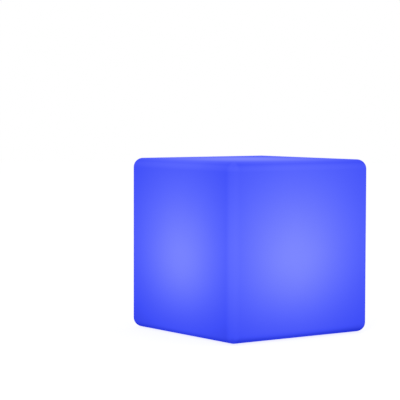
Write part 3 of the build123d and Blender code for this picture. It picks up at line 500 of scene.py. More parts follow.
# %% Rounded cube
def rounded_cube(radius, outwards):
    """Six grids (u, v, h) of the sharp cube, each drawn in to its rounding; the bottom one has
    no flat part, because the base plate with its holes goes there."""
    turn = np.radians(np.linspace(0, 45, ARC_STEPS + 1))
    beyond = FLAT + EDGE * np.tan(turn)
    line = np.concatenate([-beyond[::-1], np.linspace(-FLAT, FLAT, FLAT_STEPS + 1)[1:-1], beyond])
    u, v = np.meshgrid(line, line)
    h = np.full_like(u, FLAT + EDGE)
    faces = grid_faces(len(line), len(line), False)
    on_flat = (np.abs(line) <= FLAT + 1e-9)
    flat_points = (on_flat[:, None] & on_flat[None, :]).reshape(-1)
    rim = faces[~flat_points[faces].all(1)]
    parts = []
    bottom = (v, u, -h)
    for grid in ((u, v, h), bottom, (h, u, v), (-h, v, u), (v, h, u), (u, -h, v)):
        q = np.stack([g.reshape(-1) for g in grid], -1)
        c = np.clip(q, -FLAT, FLAT)
        d = q - c
        p = c + radius * d / np.linalg.norm(d, axis=1, keepdims=True) + (0, 0, CENTRE_Z)
        quads = faces
        if grid is bottom:
            used, place = np.unique(rim, return_inverse=True)
            p, quads = p[used], place.reshape(rim.shape)
        parts.append((p, [quads if outwards else quads[:, ::-1]]))
    return parts


def square_outline():
    """The square where the rounding of the base's edges begins, point for point as in the grid."""
    line = np.linspace(-FLAT, FLAT, FLAT_STEPS + 1)[:-1]
    side = np.stack([line, np.full_like(line, -FLAT)], -1)
    quarter = np.array([[0, 1], [-1, 0]])
    return np.concatenate([side @ np.linalg.matrix_power(quarter, n) for n in range(4)])


# %% [markdown]
# The base is turned up into a round well that takes the module. Its wall leans 3 degrees, so
# that the cooling skin lets go of the mould, and both rims are rounded. Wall and rims are a
# lathe, the seat and the base are flat plates with holes. The inside of the skin repeats them
# 3 mm away, and six closed bosses on it hold the brass inserts.

# %% Base, well and bosses
def well_corners(radius, seat, base):
    """The well's profile as it runs from the seat down its leaning wall and out over the base."""
    return [(SEAT_RING, seat), (radius, seat), (radius + (seat - base) * LEAN, base), (BASE_RING, base)]


def skin_parts():
    """Outside, inside and the seat opening's rim, as surfaces that share their points."""
    low, high = BASE_Z + WALL, SEAT_Z + WALL
    outer = rounded(well_corners(WELL_RADIUS, SEAT_Z, BASE_Z), [0, 3.5, 5.0, 0])[1:-1]
    inner = well_corners(WELL_RADIUS + WALL / math.cos(LEAN_ANGLE) - WALL * LEAN, high, low)[::-1]
    inner = rounded(inner, [0, 2.0, 6.5, 0])[1:-1]
    opening = [(OPENING, high), (OPENING, SEAT_Z + CHAMFER), (OPENING + CHAMFER, SEAT_Z)]
    parts = rounded_cube(EDGE, True) + rounded_cube(EDGE - WALL, False)
    parts += [lathe(profile, AROUND) for profile in (outer, inner, opening)]
    for height, outline, mouth, hole, places, up in (
        (BASE_Z, square_outline(), outer[-1][0], RECESS, FEET, False),
        (low, square_outline(), inner[0][0], RECESS + WALL, FEET, True),
        (SEAT_Z, circle(outer[0][0], AROUND), OPENING + CHAMFER, COLLAR, SCREWS, False),
        (high, circle(inner[-1][0], AROUND), OPENING, BOSS, SCREWS, True),
    ):
        loops = [outline, circle(mouth, AROUND)] + [circle(hole, AROUND_SMALL, *place) for place in places]
        within = math.cos(math.pi / AROUND_SMALL) * hole
        holes = [(0, 0, mouth * math.cos(math.pi / AROUND))] + [(*place, within) for place in places]
        parts.append(plate(loops, height, up, holes))
    floor = [(0, BASE_Z + RECESS_DEPTH), (RECESS, BASE_Z + RECESS_DEPTH), (RECESS, BASE_Z)]
    above = [(RECESS + WALL, low), (RECESS + WALL, low + RECESS_DEPTH), (0, low + RECESS_DEPTH)]
    barrel_top, collar_top = SEAT_Z + BARREL_ROOM, SEAT_Z + COLLAR_ROOM
    bore = [(0, barrel_top), (BARREL, barrel_top), (BARREL, collar_top), (COLLAR, collar_top)]
    bore.append((COLLAR, SEAT_Z))
    boss = rounded([(BOSS, high), (BOSS, SEAT_Z + BOSS_TOP), (0, SEAT_Z + BOSS_TOP)], [0, 3.0, 0])
    for places, profiles in ((FEET, (floor, above)), (SCREWS, (bore, boss))):
        for profile in profiles:
            parts += placed(lathe(profile, AROUND_SMALL), places)
    return parts


make_piece("cube_skin", skin_parts(), skin_finish, ["cube_shell"])

# %% [markdown]
# ## Rubber feet
# Four grey-black rubber pads stand in shallow recesses. Moulded rubber is matt, with a dusty
# grain. Each is a lathe whose tread has a round groove and softened rims.

# %% Feet
black_rubber = finish("black_rubber_moulded", "#1B1B1D", "#232325", (0.62, 0.78), 0.5, 0.02, ior=1.52)
foot_corners = [
    (0, 0), (5.7, 0), (5.95, 0.8), (7.05, 0.8), (7.3, 0), (12.2, 0), (13.0, 0.8), (13.0, 3.6), (0, 3.6),
]
foot_profile = rounded(foot_corners, [0, 0.2, 0.2, 0.2, 0.2, 0.4, 0.4, 0.15, 0], 3)
feet = placed(lathe(foot_profile, 48), FEET)
make_piece("feet", feet, black_rubber, ["rubber_feet"])

# %% [markdown]
# ## Screws
# Pan-head machine screws with a cross recess. The head is a stack of rings: a ring at each
# level of its profile, then the cross outline, whose distance from the middle in direction a
# is L / cos(a) at an arm's tip and w / sin(a) at its side, then the recess's floor. The thread
# is the shank's radius as a function of angle and height, a triangle wave along a helix.

# %% Screw surfaces
def screw_parts(radius, length, head, tall, pitch, ridge):
    """One screw that points up, with its head's bearing face at height 0; `head` is the head's
    radius and `ridge` the thread's depth."""
    arm, tip = 0.27 * radius, 1.05 * radius
    corner = math.atan(arm / tip)
    local = np.concatenate([np.radians([-45, -33, -22]), [-corner, 0, corner], np.radians([22, 33])])
    turn = (local + np.radians([0, 90, 180, 270])[:, None]).reshape(-1)
    local = np.abs(np.tile(local, 4))
    cross = np.where(local <= corner + 1e-9, tip / np.cos(local), arm / np.sin(np.maximum(local, corner)))
    unit = np.stack([np.cos(turn), np.sin(turn)], -1)
    dome = rounded([(0, -tall), (head, -tall), (head, 0)], [0, 0.62 * tall, 0], 5)[1:]
    height = np.linspace(0, length - 0.5 * radius, max(int(length / pitch * 5), 2))[:, None]
    fade = np.clip(np.minimum(height, height[-1] - height) / pitch, 0, 1)
    reach = radius - ridge * (1 - thread_wave(turn, height, pitch) * fade)
    rings = [(0, -0.38 * tall), (0.45 * cross, -0.42 * tall), (cross, -0.98 * tall)]
    rings += [((cross + dome[0][0]) / 2, -tall), *dome, (radius, 0.0), *zip(reach, height[:, 0])]
    rings += [(0.45 * radius, length), (0, length)]
    return stack_of([(unit * np.reshape(r, (-1, 1)), z) for r, z in rings])


steel = finish("stainless_steel_cold_headed", "#B9BBBE", "#C9CBCD", (0.22, 0.34), 0.3, 0.004, metal=1.0)
m4_screw = screw_parts(radius=2.0, length=11.4, head=4.0, tall=2.8, pitch=0.7, ridge=0.4)
m4_screws = placed(m4_screw, SCREWS, 13.0)
make_piece("threaded_flange_screws", m4_screws, steel, ["flange_screws"], 30.0)

# %% M3 screws, which point down and cut their own thread in plastic
SMALL_SCREWS = {
    "clamp_screws": corners_of(21.975, 24.5),
    "board_screws": corners_of(33.475, 23.5),
    "retainer_screws": [(-15.0, -40.0), (15.0, -40.0)],
    "led_board_screws": circle(24.0, 3, first=90.0),
    "dome_screws": circle(49.5, 4, first=45.0),
}
M3_HEAD = 1.9
for node, places in SMALL_SCREWS.items():
    low, high = (np.array(v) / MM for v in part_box(node))
    bearing = high[2] - M3_HEAD
    m3_screw = screw_parts(1.5, bearing - low[2], head=2.8, tall=M3_HEAD, pitch=1.1, ridge=0.3)
    m3_screws = placed(m3_screw, places, bearing, downwards=True)
    make_piece("threaded_" + node, m3_screws, steel, [node], 30.0)

# %% [markdown]
# ## The charging socket's cover
# One piece of soft rubber: a disc with a plug on its inner face, a tab to pull, and a strap to
# a barb that is pulled through the housing. The strap is thin along one line and bends there.
# Booleans of boxes would leave bad triangles just where it bends, so the outline is worked
# out as lines and arcs instead, with a point every 0.3 mm along the strap. Its rim is a grid
# between that outline and smaller copies of it, which rounds the edges.

# %% Outline of the cover, its strap and its tab
PORT_Y = 37.5                   # middle of the charging socket
COVER_RADIUS, COVER_LOW = 8.0, 10.2
TAB_REACH, TAB_HALF, TAB_CORNER = 13.0, 3.0, 1.2
STRAP_HALF, PAD_X, PAD_RADIUS = 2.5, -17.0, 3.2
GROOVE = (5.6, 6.4)             # ring groove in the outer face
PLUG_RADIUS, STEM_RADIUS = 2.7, 1.5


def arc(x, y, radius, first, last, step=0.4):
    """Points (x + r cos a, y + r sin a) from angle first to last, about one every `step` mm."""
    angle = np.linspace(first, last, max(int(abs(last - first) * radius / step), 3) + 1)
    return np.stack([x + radius * np.cos(angle), y + radius * np.sin(angle)], -1)


def cover_outline():
    """From the tab's tip over the disc and along the strap to the pad's far end, then mirrored."""
    tab = arc(TAB_REACH - TAB_CORNER, TAB_HALF - TAB_CORNER, TAB_CORNER, 0, math.pi / 2)
    disc_end = math.pi - math.asin(STRAP_HALF / COVER_RADIUS)
    disc = arc(0, 0, COVER_RADIUS, math.asin(TAB_HALF / COVER_RADIUS), disc_end)
    pad = arc(PAD_X, 0, PAD_RADIUS, math.asin(STRAP_HALF / PAD_RADIUS), math.pi)
    line = np.arange(disc[-1][0] - 0.3, pad[0][0] + 0.15, -0.3)
    strap = np.stack([line, np.full_like(line, STRAP_HALF)], -1)
    half = np.concatenate([[(TAB_REACH, 0.0)], tab, disc, strap, pad])
    return np.concatenate([half, half[-2:0:-1] * (1, -1)])


def inset(outline, distance):
    """Each point moves inwards by d (n1 + n2) / (1 + n1 . n2), with n1 and n2 the inward normals
    of the lines before and after it."""
    def inward(line):
        line = line / np.linalg.norm(line, axis=1, keepdims=True)
        return np.stack([-line[:, 1], line[:, 0]], -1)

    n1, n2 = inward(outline - np.roll(outline, 1, 0)), inward(np.roll(outline, -1, 0) - outline)
    return outline + np.reshape(distance, (-1, 1)) * (n1 + n2) / (1 + (n1 * n2).sum(1, keepdims=True))


def cover_top(x):
    """Height of the inner face: against the housing at the anchor, thin where it bends, then full."""
    return np.interp(x, [-13.1, -12.5, -11.5, -10.9], [13.0, 10.8, 10.8, 11.6])


# %% The cover as one closed skin
def cover_parts():
    """Rim, both faces, plug, anchor and three grip ribs on the tab."""
    outline = cover_outline()
    top = cover_top(outline[:, 0])
    soft = np.minimum(0.4, 0.45 * (top - COVER_LOW))
    quarter = [(1 - math.sin(a), 1 - math.cos(a)) for a in np.radians([0, 30, 60, 90])]
    rows = [(soft * into, COVER_LOW + soft * up) for into, up in quarter]
    rows += [(soft * into, top - soft * down) for into, down in quarter[::-1]]
    rim = np.concatenate([np.column_stack([inset(outline, d), z]) for d, z in rows])
    parts = [(rim, [grid_faces(len(rows), len(outline), True)])]
    edge = inset(outline, soft)
    parts.append(plate([edge, circle(GROOVE[1], 48)], COVER_LOW, False, [(0, 0, GROOVE[1] * 0.995)]))
    flats = plate(
        [edge, circle(PLUG_RADIUS, 48), circle(STEM_RADIUS, 24, PAD_X)], 0.0, True,
        [(0, 0, PLUG_RADIUS * 0.995), (PAD_X, 0, STEM_RADIUS * 0.98)],
    )
    flats[0][:, 2] = cover_top(flats[0][:, 0])
    parts.append(flats)
    bottom = COVER_LOW + 0.3
    groove = [(GROOVE[0], COVER_LOW), (5.75, bottom), (6.25, bottom), (GROOVE[1], COVER_LOW)]
    plug = rounded([(PLUG_RADIUS, 11.6), (PLUG_RADIUS, 12.8), (0, 12.8)], [0, 0.4, 0])
    barb = [(STEM_RADIUS, 13.0), (STEM_RADIUS, 15.4), (2.3, 15.4), (0.9, 17.2), (0, 17.2)]
    parts += [lathe([(0, COVER_LOW), *groove], 48), lathe(plug, 48)]
    parts += placed(lathe(rounded(barb, [0, 0, 0.2, 0.4, 0]), 24), [(PAD_X, 0.0)])
    for x in (9.7, 10.8, 11.9):
        path = [(x, y, COVER_LOW) for y in (-1.9, -0.6, 0.6, 1.9)]
        parts.append(sweep(path, circle(0.3, 12), (0, 0, 1)))
    return sum((placed(part, [(0.0, PORT_Y)]) for part in parts), [])


strap_nodes = ["port_cover", "port_cover_anchor"]
strap = make_piece("port_cover_strap", cover_parts(), black_rubber, strap_nodes, body=None)
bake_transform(strap)

# %% [markdown]
# ## The mark on the button
# The button's dished face carries the usual sign for switching on: a ring with a gap, and a
# bar in the gap, printed in white with a soft pad. A flat curve would hang in the air over a
# dish, so the line's path lies on the dish's ball: z = c + sqrt(R^2 - r^2). A flattened round
# outline, half of it sunk in the plastic, is swept along it.

# %% Power mark
white_ink = finish("white_ink_pad_printed", "#E9EAEC", "#F1F1F2", (0.42, 0.5), 0.2, 0.004, ior=1.5)
BUTTON_Y, DISH_RADIUS, DISH_CENTRE = -40.0, 30.0, -19.3
MARK_RADIUS, BAR_ENDS, GAP = 2.5, (1.1, 3.5), math.radians(34)
LINE_SIZE = (0.3, 0.1)          # half the line's width and half its thickness
turn = np.linspace(math.pi / 2 + GAP, 2.5 * math.pi - GAP, 41)
ring = np.stack([MARK_RADIUS * np.cos(turn), MARK_RADIUS * np.sin(turn)], -1)
bar = np.stack([np.zeros(9), np.linspace(*BAR_ENDS, 9)], -1)
mark_parts = []
for line in (ring, bar):
    height = DISH_CENTRE + np.sqrt(DISH_RADIUS**2 - (line**2).sum(1))
    path = np.column_stack([line + (0, BUTTON_Y), height])
    mark_parts.append(sweep(path, circle(1.0, 12) * LINE_SIZE, (0, 0, 1)))
make_piece("power_mark", mark_parts, white_ink, body="power_button")

# %% [markdown]
# ## Finishes of the moulded and metal pieces
# The rest of the light keeps its CAD solids and gets its real materials. A piece of ABS from
# a spark-eroded mould is satin with a fine pebble, silicone is matt and slightly cloudy,
# rolled nickel is a warm bright grey. Each line below is one material: its two tones, its
# roughness from smooth to rough spots, the grain's width and depth in millimetres.

# %% One finish per material
# Off-white ABS from a spark-eroded mould: satin, with a fine pebble
off_white = finish("abs_spark_eroded", "#E3E4E5", "#E9EAEA", (0.42, 0.55), 0.6, 0.02, ior=1.54)
dress(off_white, "module_housing", "battery_clamp")
# White ABS from a polished mould: smoother and whiter, to throw light back into the cube
white = finish("abs_white_moulded", "#F0F0EE", "#F5F5F4", (0.3, 0.4), 0.8, 0.008, ior=1.54)
dress(white, "deck_plate", "button_retainer")
# Grey ABS: the same plastic, dyed, with an even satin that hides fingerprints
grey = finish("abs_grey_moulded", "#4B4D51", "#525458", (0.36, 0.46), 0.5, 0.012, ior=1.54)
dress(grey, "power_button")
# Silicone sheet and ring: matt, soft, a little cloudy
silicone = finish("silicone_grey_cured", "#8F9193", "#9B9D9E", (0.5, 0.65), 0.7, 0.01, ior=1.41, blotch=6.0)
dress(silicone, "flange_gasket", "button_seal")
dress(black_rubber, "jack_washer")
# Brass, turned and knurled: warm yellow metal with fine dull lines
brass = finish("brass_turned_knurled", "#B08D45", "#C6A257", (0.28, 0.42), 0.4, 0.01, metal=1.0)
# Nickel: plated contacts are bright, rolled strip is duller, and drawn steel cans lie between
plated = finish("nickel_plated_bright", "#C9C6BE", "#D6D3CC", (0.12, 0.2), 0.3, 0.002, metal=1.0)
dress(plated, "jack_pin", "jack_nut")
rolled = finish("nickel_strip_rolled", "#BDBBB3", "#CBC9C2", (0.28, 0.4), 0.25, 0.006, metal=1.0)
dress(rolled, "battery_links")
drawn = finish("steel_can_drawn", "#A6A8AA", "#B7B9BB", (0.2, 0.32), 0.5, 0.004, metal=1.0, coat=0.2)
dress(drawn, "battery_cells")
# PVC sleeve shrunk on by heat: glossy blue, softly wavy
wrap = finish("pvc_sleeve_shrunk", "#1F5CA8", "#2868B6", (0.18, 0.3), 3.0, 0.08, 1.53, coat=0.3, blotch=9.0)
dress(wrap, "battery_wrap")
# Open-cell foam: black, dull, with pores of about a millimetre
foam = finish("foam_open_cell", "#121213", "#242426", (0.85, 0.95), 0.9, 0.35, 1.4, level=0.3, blotch=1.2)
dress(foam, "battery_foam")
# Moulded epoxy of the chips: dull black with a speckle of filler
chip_epoxy = finish("epoxy_chip_moulded", "#1C1C1E", "#27272A", (0.5, 0.65), 0.15, 0.006, 1.55, blotch=0.4)
# Tinned copper legs and the cans' bare aluminium: pale, soft metals with a blurred shine
tin = finish("copper_tinned", "#C3C4C2", "#D0D1CF", (0.3, 0.42), 0.2, 0.004, metal=1.0)
can_metal = finish("aluminium_drawn", "#C4C6C9", "#CFD1D3", (0.25, 0.38), 0.3, 0.004, metal=1.0)
# The receiver's epoxy passes infrared and looks like black glass, with a hint of red
dark_epoxy = finish("epoxy_infrared_cast", "#1A1315", "#21171A", (0.08, 0.14), 1.5, 0.003, 1.55, coat=0.3)
dress(dark_epoxy, "remote_receiver")
# Pressed and fired ferrite: dark grey, granular, hardly any gloss
ferrite = finish("ferrite_sintered", "#2B2B2E", "#39393C", (0.55, 0.7), 0.3, 0.03, ior=1.6, blotch=1.0)
# Vinyl sleeve on the capacitors' aluminium cans: dark blue, glossy
vinyl = finish("vinyl_sleeve_shrunk", "#151A2A", "#1D2336", (0.2, 0.3), 1.5, 0.02, 1.53, coat=0.2, blotch=5.0)
# Natural nylon of sockets and plugs: creamy white, waxy; the charging socket's is dyed black
nylon = finish("nylon_natural_moulded", "#E9E3D2", "#F0EBDC", (0.38, 0.5), 0.6, 0.01, 1.53, blotch=4.0)
dress(nylon, "board_connectors", "lead_plugs")
black_nylon = finish("nylon_black_moulded", "#161617", "#1E1E20", (0.34, 0.46), 0.5, 0.01, ior=1.53)
# Glass-filled plastic of the switch: dark, dry, with the fibres' faint speckle
filled = finish("pbt_glass_filled", "#1E1F21", "#2B2C2F", (0.45, 0.6), 0.2, 0.012, 1.57, blotch=0.8)
dress(filled, "push_switch", "switch_plunger")

# %% [markdown]
# ## Boards
# Under the lacquer of a board the copper shows as a paler tone: tracks side by side that turn
# by 45 degrees, areas that are filled, and round pads. A picture would be one way, and here a
# formula is enough. Tracks lie where y + min(w(x), d) is a whole number of pitches, w being a
# wave that goes to and fro at 45 degrees. Voronoi cells pick the filled areas, and the middles
# of smaller cells are the pads.

# %% Boards
def board_finish(name, lacquer, over_copper, pad, pitch, rough):
    """Tracks `pitch` mm apart, filled areas and pads, with the copper's thickness as relief."""
    material, tree = new_material(name)
    place = add(tree, "TexCoord").outputs["Object"]
    split = add(tree, "SeparateXYZ", [place])
    wave = add(tree, "Math", [split.outputs["X"], 9 * MM], operation="PINGPONG")
    wave = add(tree, "Math", [wave, 4 * MM], operation="MINIMUM")
    row = add(tree, "Math", [wave, split.outputs["Y"]], operation="ADD")
    row = add(tree, "Math", [row, pitch / 2 * MM], operation="PINGPONG")
    track = add(tree, "Math", [row, 0.18 * pitch * MM], operation="LESS_THAN")
    area = add(tree, "TexVoronoi", {"Vector": place, "Scale": 1 / (11 * MM)}, distance="CHEBYCHEV")
    area = add(tree, "SeparateColor", [area.outputs["Color"]])
    filled = add(tree, "Math", [area.outputs["Red"], 0.6], operation="GREATER_THAN")
    copper = add(tree, "Math", [track, filled], operation="MAXIMUM")
    cell = add(tree, "TexVoronoi", {"Vector": place, "Scale": 1 / (2 * pitch * MM)}).outputs["Distance"]
    hole = add(tree, "Math", [cell, 0.1], operation="LESS_THAN")
    tone = add(tree, "ValToRGB", {"Fac": copper}, stops=[(0, linear(lacquer)), (1, linear(over_copper))])
    tone = add(tree, "Mix", {0: hole, 6: tone, 7: linear(pad)}, data_type="RGBA").outputs[2]
    bump = add(tree, "Bump", {"Height": copper, "Distance": 0.035 * MM, "Strength": 1.0})
    weave = add(tree, "TexNoise", {"Vector": place, "Scale": 1 / (0.5 * MM), "Detail": 1.0})
    dull = add(tree, "MapRange", {"Value": weave, "To Min": rough - 0.05, "To Max": rough + 0.05})
    shader = add(tree, "BsdfPrincipled", {"Base Color": tone, "Roughness": dull, "IOR": 1.5, "Normal": bump})
    add(tree, "OutputMaterial", {"Surface": shader})
    return material


dress(board_finish("board_green_lacquered", "#0B4A29", "#1B7040", "#B9B39A", 1.27, 0.28), "main_board")
dress(board_finish("board_white_lacquered", "#E6E6E2", "#F1F1EE", "#C9C6BC", 2.54, 0.34), "led_board")

# %% [markdown]
# ## Leads
# A twin lead is two round wires side by side, and the ribbon is four that are moulded
# together. Soft wire takes a smooth line between its two ends, which a NURBS spline gives
# from the corners of the CAD model's leads. A bevelled curve would leave its ends open, so a
# round outline is swept along points that are read from the spline. One material serves each
# lead: its colour is a step along the coordinate across the wires.

# %% Wires
PLUG_TOP, ARCH_TOP = 52.4, 59.4  # mm: top of a driver board plug, and of a lead that bends over it
CHANNEL, HEADER = 42.9, 34.9    # notch in the board's edge, and the plug behind it
BATTERY_END = (33.4, 26.05)     # where the battery's lead starts
TAG_TOP, UNDER_BOARD = 29.3, 34.48  # top of the socket's tags, and the lead's way under the board
RIBBON_LOW, RIBBON_HIGH = (-38.0, PLUG_TOP), (-24.0, 76.4)  # the ribbon's two plugs
UNDER_DOME = 89.84              # the ribbon's way over the LED board


def lead_finish(name, axis, ways, pitch):
    """PVC insulation: one colour per wire along the axis, with a slightly uneven gloss."""
    material, tree = new_material(name)
    place = add(tree, "TexCoord").outputs["Object"]
    across = add(tree, "SeparateXYZ", [place]).outputs[axis]
    half = len(ways) * pitch / 2 * MM
    share = add(tree, "MapRange", {"Value": across, "From Min": -half, "From Max": half})
    steps = [(i / len(ways), linear(colour)) for i, colour in enumerate(ways)]
    tint = add(tree, "ValToRGB", {"Fac": share}, stops=steps)
    tint.color_ramp.interpolation = "CONSTANT"
    cloud = add(tree, "TexNoise", {"Vector": place, "Scale": 1 / (2.0 * MM)})
    dull = add(tree, "MapRange", {"Value": cloud, "To Min": 0.3, "To Max": 0.45})
    shader = add(tree, "BsdfPrincipled", {"Base Color": tint, "Roughness": dull, "IOR": 1.53})
    add(tree, "OutputMaterial", {"Surface": shader})
    return material


def smooth_line(corners):
    """Points on the quadratic NURBS spline that has the corners as its control points."""
    curve = bpy.data.curves.new("way", "CURVE")
    curve.dimensions = "3D"
    spline = curve.splines.new("NURBS")
    spline.points.add(len(corners) - 1)
    spline.points.foreach_set("co", np.array([(a, 0, b, 1) for a, b in corners], float).reshape(-1))
    spline.order_u, spline.use_endpoint_u, spline.resolution_u = 3, True, 10
    holder = bpy.data.objects.new("way", curve)
    mesh = bpy.data.meshes.new_from_object(holder)
    points = np.empty(3 * len(mesh.vertices))
    mesh.vertices.foreach_get("co", points)
    bpy.data.objects.remove(holder)
    bpy.data.curves.remove(curve)
    bpy.data.meshes.remove(mesh)
    return points.reshape(-1, 3)[:, [0, 2]]


def wires(corners, axis, count, pitch):
    """Round wires side by side along `axis`; the corners are (distance out, height) across it."""
    line = smooth_line(corners)
    parts = []
    for n in range(count):
        beside = np.full(len(line), (n - (count - 1) / 2) * pitch)
        columns = [line[:, 0], beside] if axis == "Y" else [beside, line[:, 0]]
        up = (0, 1, 0) if axis == "Y" else (1, 0, 0)
        parts.append(sweep(np.column_stack(columns + [line[:, 1]]), circle(0.51 * pitch, 16), up))
    return parts


RED_BLACK, RIBBON = ["#B0201A", "#1A1A1B"], ["#C8C9CC", "#B3261E", "#2C8A3C", "#2456B0"]
over_plug = [(CHANNEL, ARCH_TOP), (HEADER, ARCH_TOP), (HEADER, PLUG_TOP)]
battery_way = [BATTERY_END, (CHANNEL, BATTERY_END[1]), *over_plug]
jack_way = [(PORT_Y, TAG_TOP), (PORT_Y, UNDER_BOARD), (CHANNEL, UNDER_BOARD), *over_plug]
ribbon_way = [RIBBON_LOW, (RIBBON_LOW[0], UNDER_DOME), (RIBBON_HIGH[0], UNDER_DOME), RIBBON_HIGH]
for node, corners, axis, ways, pitch, slot in (
    ("battery_leads", battery_way, "Y", RED_BLACK, 1.4, "lead_red_black"),
    ("jack_leads", jack_way, "X", RED_BLACK, 1.4, "lead_red_black"),
    ("led_harness", ribbon_way, "X", RIBBON, 1.5, "lead_ribbon"),
):
    insulation = lead_finish("pvc_" + node, axis, ways, pitch)
    make_piece("wires_of_" + node, wires(corners, axis, len(ways), pitch), insulation, [node])

# %% [markdown]
# ## Clear pieces
# The dome is polycarbonate with a frosted skin: light passes, but is spread. Only its rough
# surface does that, so the roughness is high and there is no haze inside. The charging lamp's
# rod is acrylic with satin ends. Both take the plain recipe with its glass turned on and their
# own IOR, and a lit piece holds a little of the light itself.

# %% Frosted and clear plastic
dress(finish(
    "polycarbonate_frosted", "#E6ECFB", "#E6ECFB", (0.53, 0.57), 0.3, 0.02, ior=1.585, clear=1.0, glow=0.35,
), "diffuser_dome")
dress(finish(
    "acrylic_moulded", "#F3F8F7", "#F3F8F7", (0.29, 0.31), 0.4, 0.01, ior=1.49, clear=1.0, glow=0.05,
), "charge_light_pipe")

# %% [markdown]
# ## Colour LEDs
# Each is a white square package with a round well. The three chips in the well lie under
# clear resin, which shines blue here. Eighteen separate meshes would be the long way: one
# package is a stack of rings, square ones outside and round ones in the well, and it is
# turned and moved to each place.

# %% LED surfaces
LED_LOW, LED_HIGH = (v[2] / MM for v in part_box("colour_leds"))
LED_HALF, LED_CUT = 2.5, 0.15   # half a package's width, and its cut edge
WELL_DEPTH = 0.5
POINT = circle(0.0, 32)
side, lip = box_ring(LED_HALF, LED_HALF), box_ring(LED_HALF - LED_CUT, LED_HALF - LED_CUT)
package = stack_of([
    (POINT, LED_LOW), (side, LED_LOW), (side, LED_HIGH - LED_CUT), (lip, LED_HIGH),
    (circle(1.9, 32), LED_HIGH), (circle(1.7, 32), LED_HIGH - WELL_DEPTH), (POINT, LED_HIGH - WELL_DEPTH),
])
resin_profile = [(0, -0.45), (1.68, -0.45), (1.82, -0.1), (0, -0.16)]
resin = lathe([(r, LED_HIGH + z) for r, z in resin_profile], 32)
LED_RINGS = ((32.0, 12, 15), (15.0, 6, 0))  # radius, how many, angle of the first
led_places = [
    (*place, first + 360 / count * n)
    for radius, count, first in LED_RINGS for n, place in enumerate(circle(radius, count, first=first))
]
white_package = finish("led_package_moulded", "#ECECE8", "#F3F3F0", (0.3, 0.4), 0.4, 0.004, ior=1.6)
lit_resin = finish(
    "led_resin_cast", "#DCE4FF", "#DCE4FF", (0.048, 0.052), 2.0, 0.002, ior=1.5, clear=1.0, glow=6.0,
)
leds = placed(package, led_places)
make_piece("led_bodies", leds, white_package, ["colour_leds"])
make_piece("led_lenses", placed(resin, led_places), lit_resin)
dress(white_package, "charge_led")

# %% [markdown]
# ## What stands on the driver board
# A moulded chip is widest at its middle, where the mould parts and the legs come out, and each
# leg is bent like a gull's wing. A capacitor is a can in a vinyl sleeve: a groove near its foot
# holds the rubber plug, and a cross is pressed into its top, where it may open. The choke is a
# ferrite block with cut corners round a drum. Rings stacked to one skin give all the bodies, a
# sweep gives the legs, and the cross is a formula for the height of the can's top.

# %% Chips
BOARD_TOP, CHIP_LOW, CHIP_TOP = 45.6, 45.7, 47.2
CHIP_SEAM = (CHIP_LOW + CHIP_TOP) / 2
LEG_PITCH = 1.27
CHIPS = [                       # x, y, half length, half width, legs in front, legs behind
    (-7.0, 2.0, 4.5, 2.0, 7, 7), (14.0, 10.0, 2.5, 2.0, 4, 4),
    *[(-24.0, -2.0 - 7.0 * n, 2.5, 2.0, 3, 1) for n in range(3)],
]


def chip_body(half_x, half_y):
    """Five rings: the middle one is 0.15 mm larger than the faces."""
    face, seam = box_ring(half_x - 0.15, half_y - 0.15), box_ring(half_x, half_y)
    return stack_of([
        (POINT, CHIP_LOW), (face, CHIP_LOW), (seam, CHIP_SEAM), (face, CHIP_TOP), (POINT, CHIP_TOP),
    ])


def chip_legs(half_y, count, side):
    """Legs in a row; a single one is the wide tab that carries a transistor's heat."""
    reach = np.array([-0.2, 0.35, 0.5, 1.1]) + half_y
    bend = rounded(np.column_stack([reach, [CHIP_SEAM] * 2 + [CHIP_LOW] * 2]), [0, 0.15, 0.15, 0], 3)
    outline = box_ring(0.1, 1.5 if count == 1 else 0.21, 8)
    path = np.column_stack([np.zeros(len(bend)), side * bend[:, 0], bend[:, 1]])
    places = [((n - (count - 1) / 2) * LEG_PITCH, 0.0) for n in range(count)]
    return placed(sweep(path, outline, (1, 0, 0)), places)


bodies, legs = [], []
for x, y, half_x, half_y, front, behind in CHIPS:
    bodies += placed(chip_body(half_x, half_y), [(x, y)])
    for leg in chip_legs(half_y, front, -1) + chip_legs(half_y, behind, 1):
        legs += placed(leg, [(x, y)])
make_piece("chip_bodies", bodies, chip_epoxy, ["driver_chips"], 20.0)
make_piece("chip_legs", legs, tin)

# %% Capacitors
CAN_TOP = 56.6


def can_end(radius):
    """A disc whose height is z - d exp(-(m / w)^2) within 2.7 mm, m being the smaller of |x| and |y|."""
    rings = [(circle(0.0, 48), CAN_TOP - 0.5), (circle(radius, 48), CAN_TOP - 0.5)]
    for r in np.linspace(radius, 0, 16):
        ring = circle(r, 48)
        cross = np.exp(-((np.abs(ring).min(1) / 0.28) ** 2)) * np.clip((2.7 - r) / 0.3, 0, 1)
        rings.append((ring, CAN_TOP - 0.1 - 0.3 * cross))
    return stack_of(rings)


groove = [(0, 0), (4, 0), (4, 1.6), (3.7, 1.9), (4, 2.2)]
sleeve_corners = [(r, BOARD_TOP + z) for r, z in groove]
sleeve_corners += [(4, CAN_TOP), (3.4, CAN_TOP), (3.4, CAN_TOP - 0.3), (0, CAN_TOP - 0.3)]
sleeve = lathe(rounded(sleeve_corners, [0, 0.2, 0.3, 0.15, 0.3, 0.35, 0.1, 0, 0], 4), 48)
CAN_PLACES = [(-22.0, 14.0), (-11.0, 19.0)]
cans = placed(sleeve, CAN_PLACES)
make_piece("capacitor_sleeves", cans, vinyl, ["capacitors"])
ends = placed(can_end(3.42), CAN_PLACES)
make_piece("capacitor_ends", ends, can_metal, sharp=60.0)


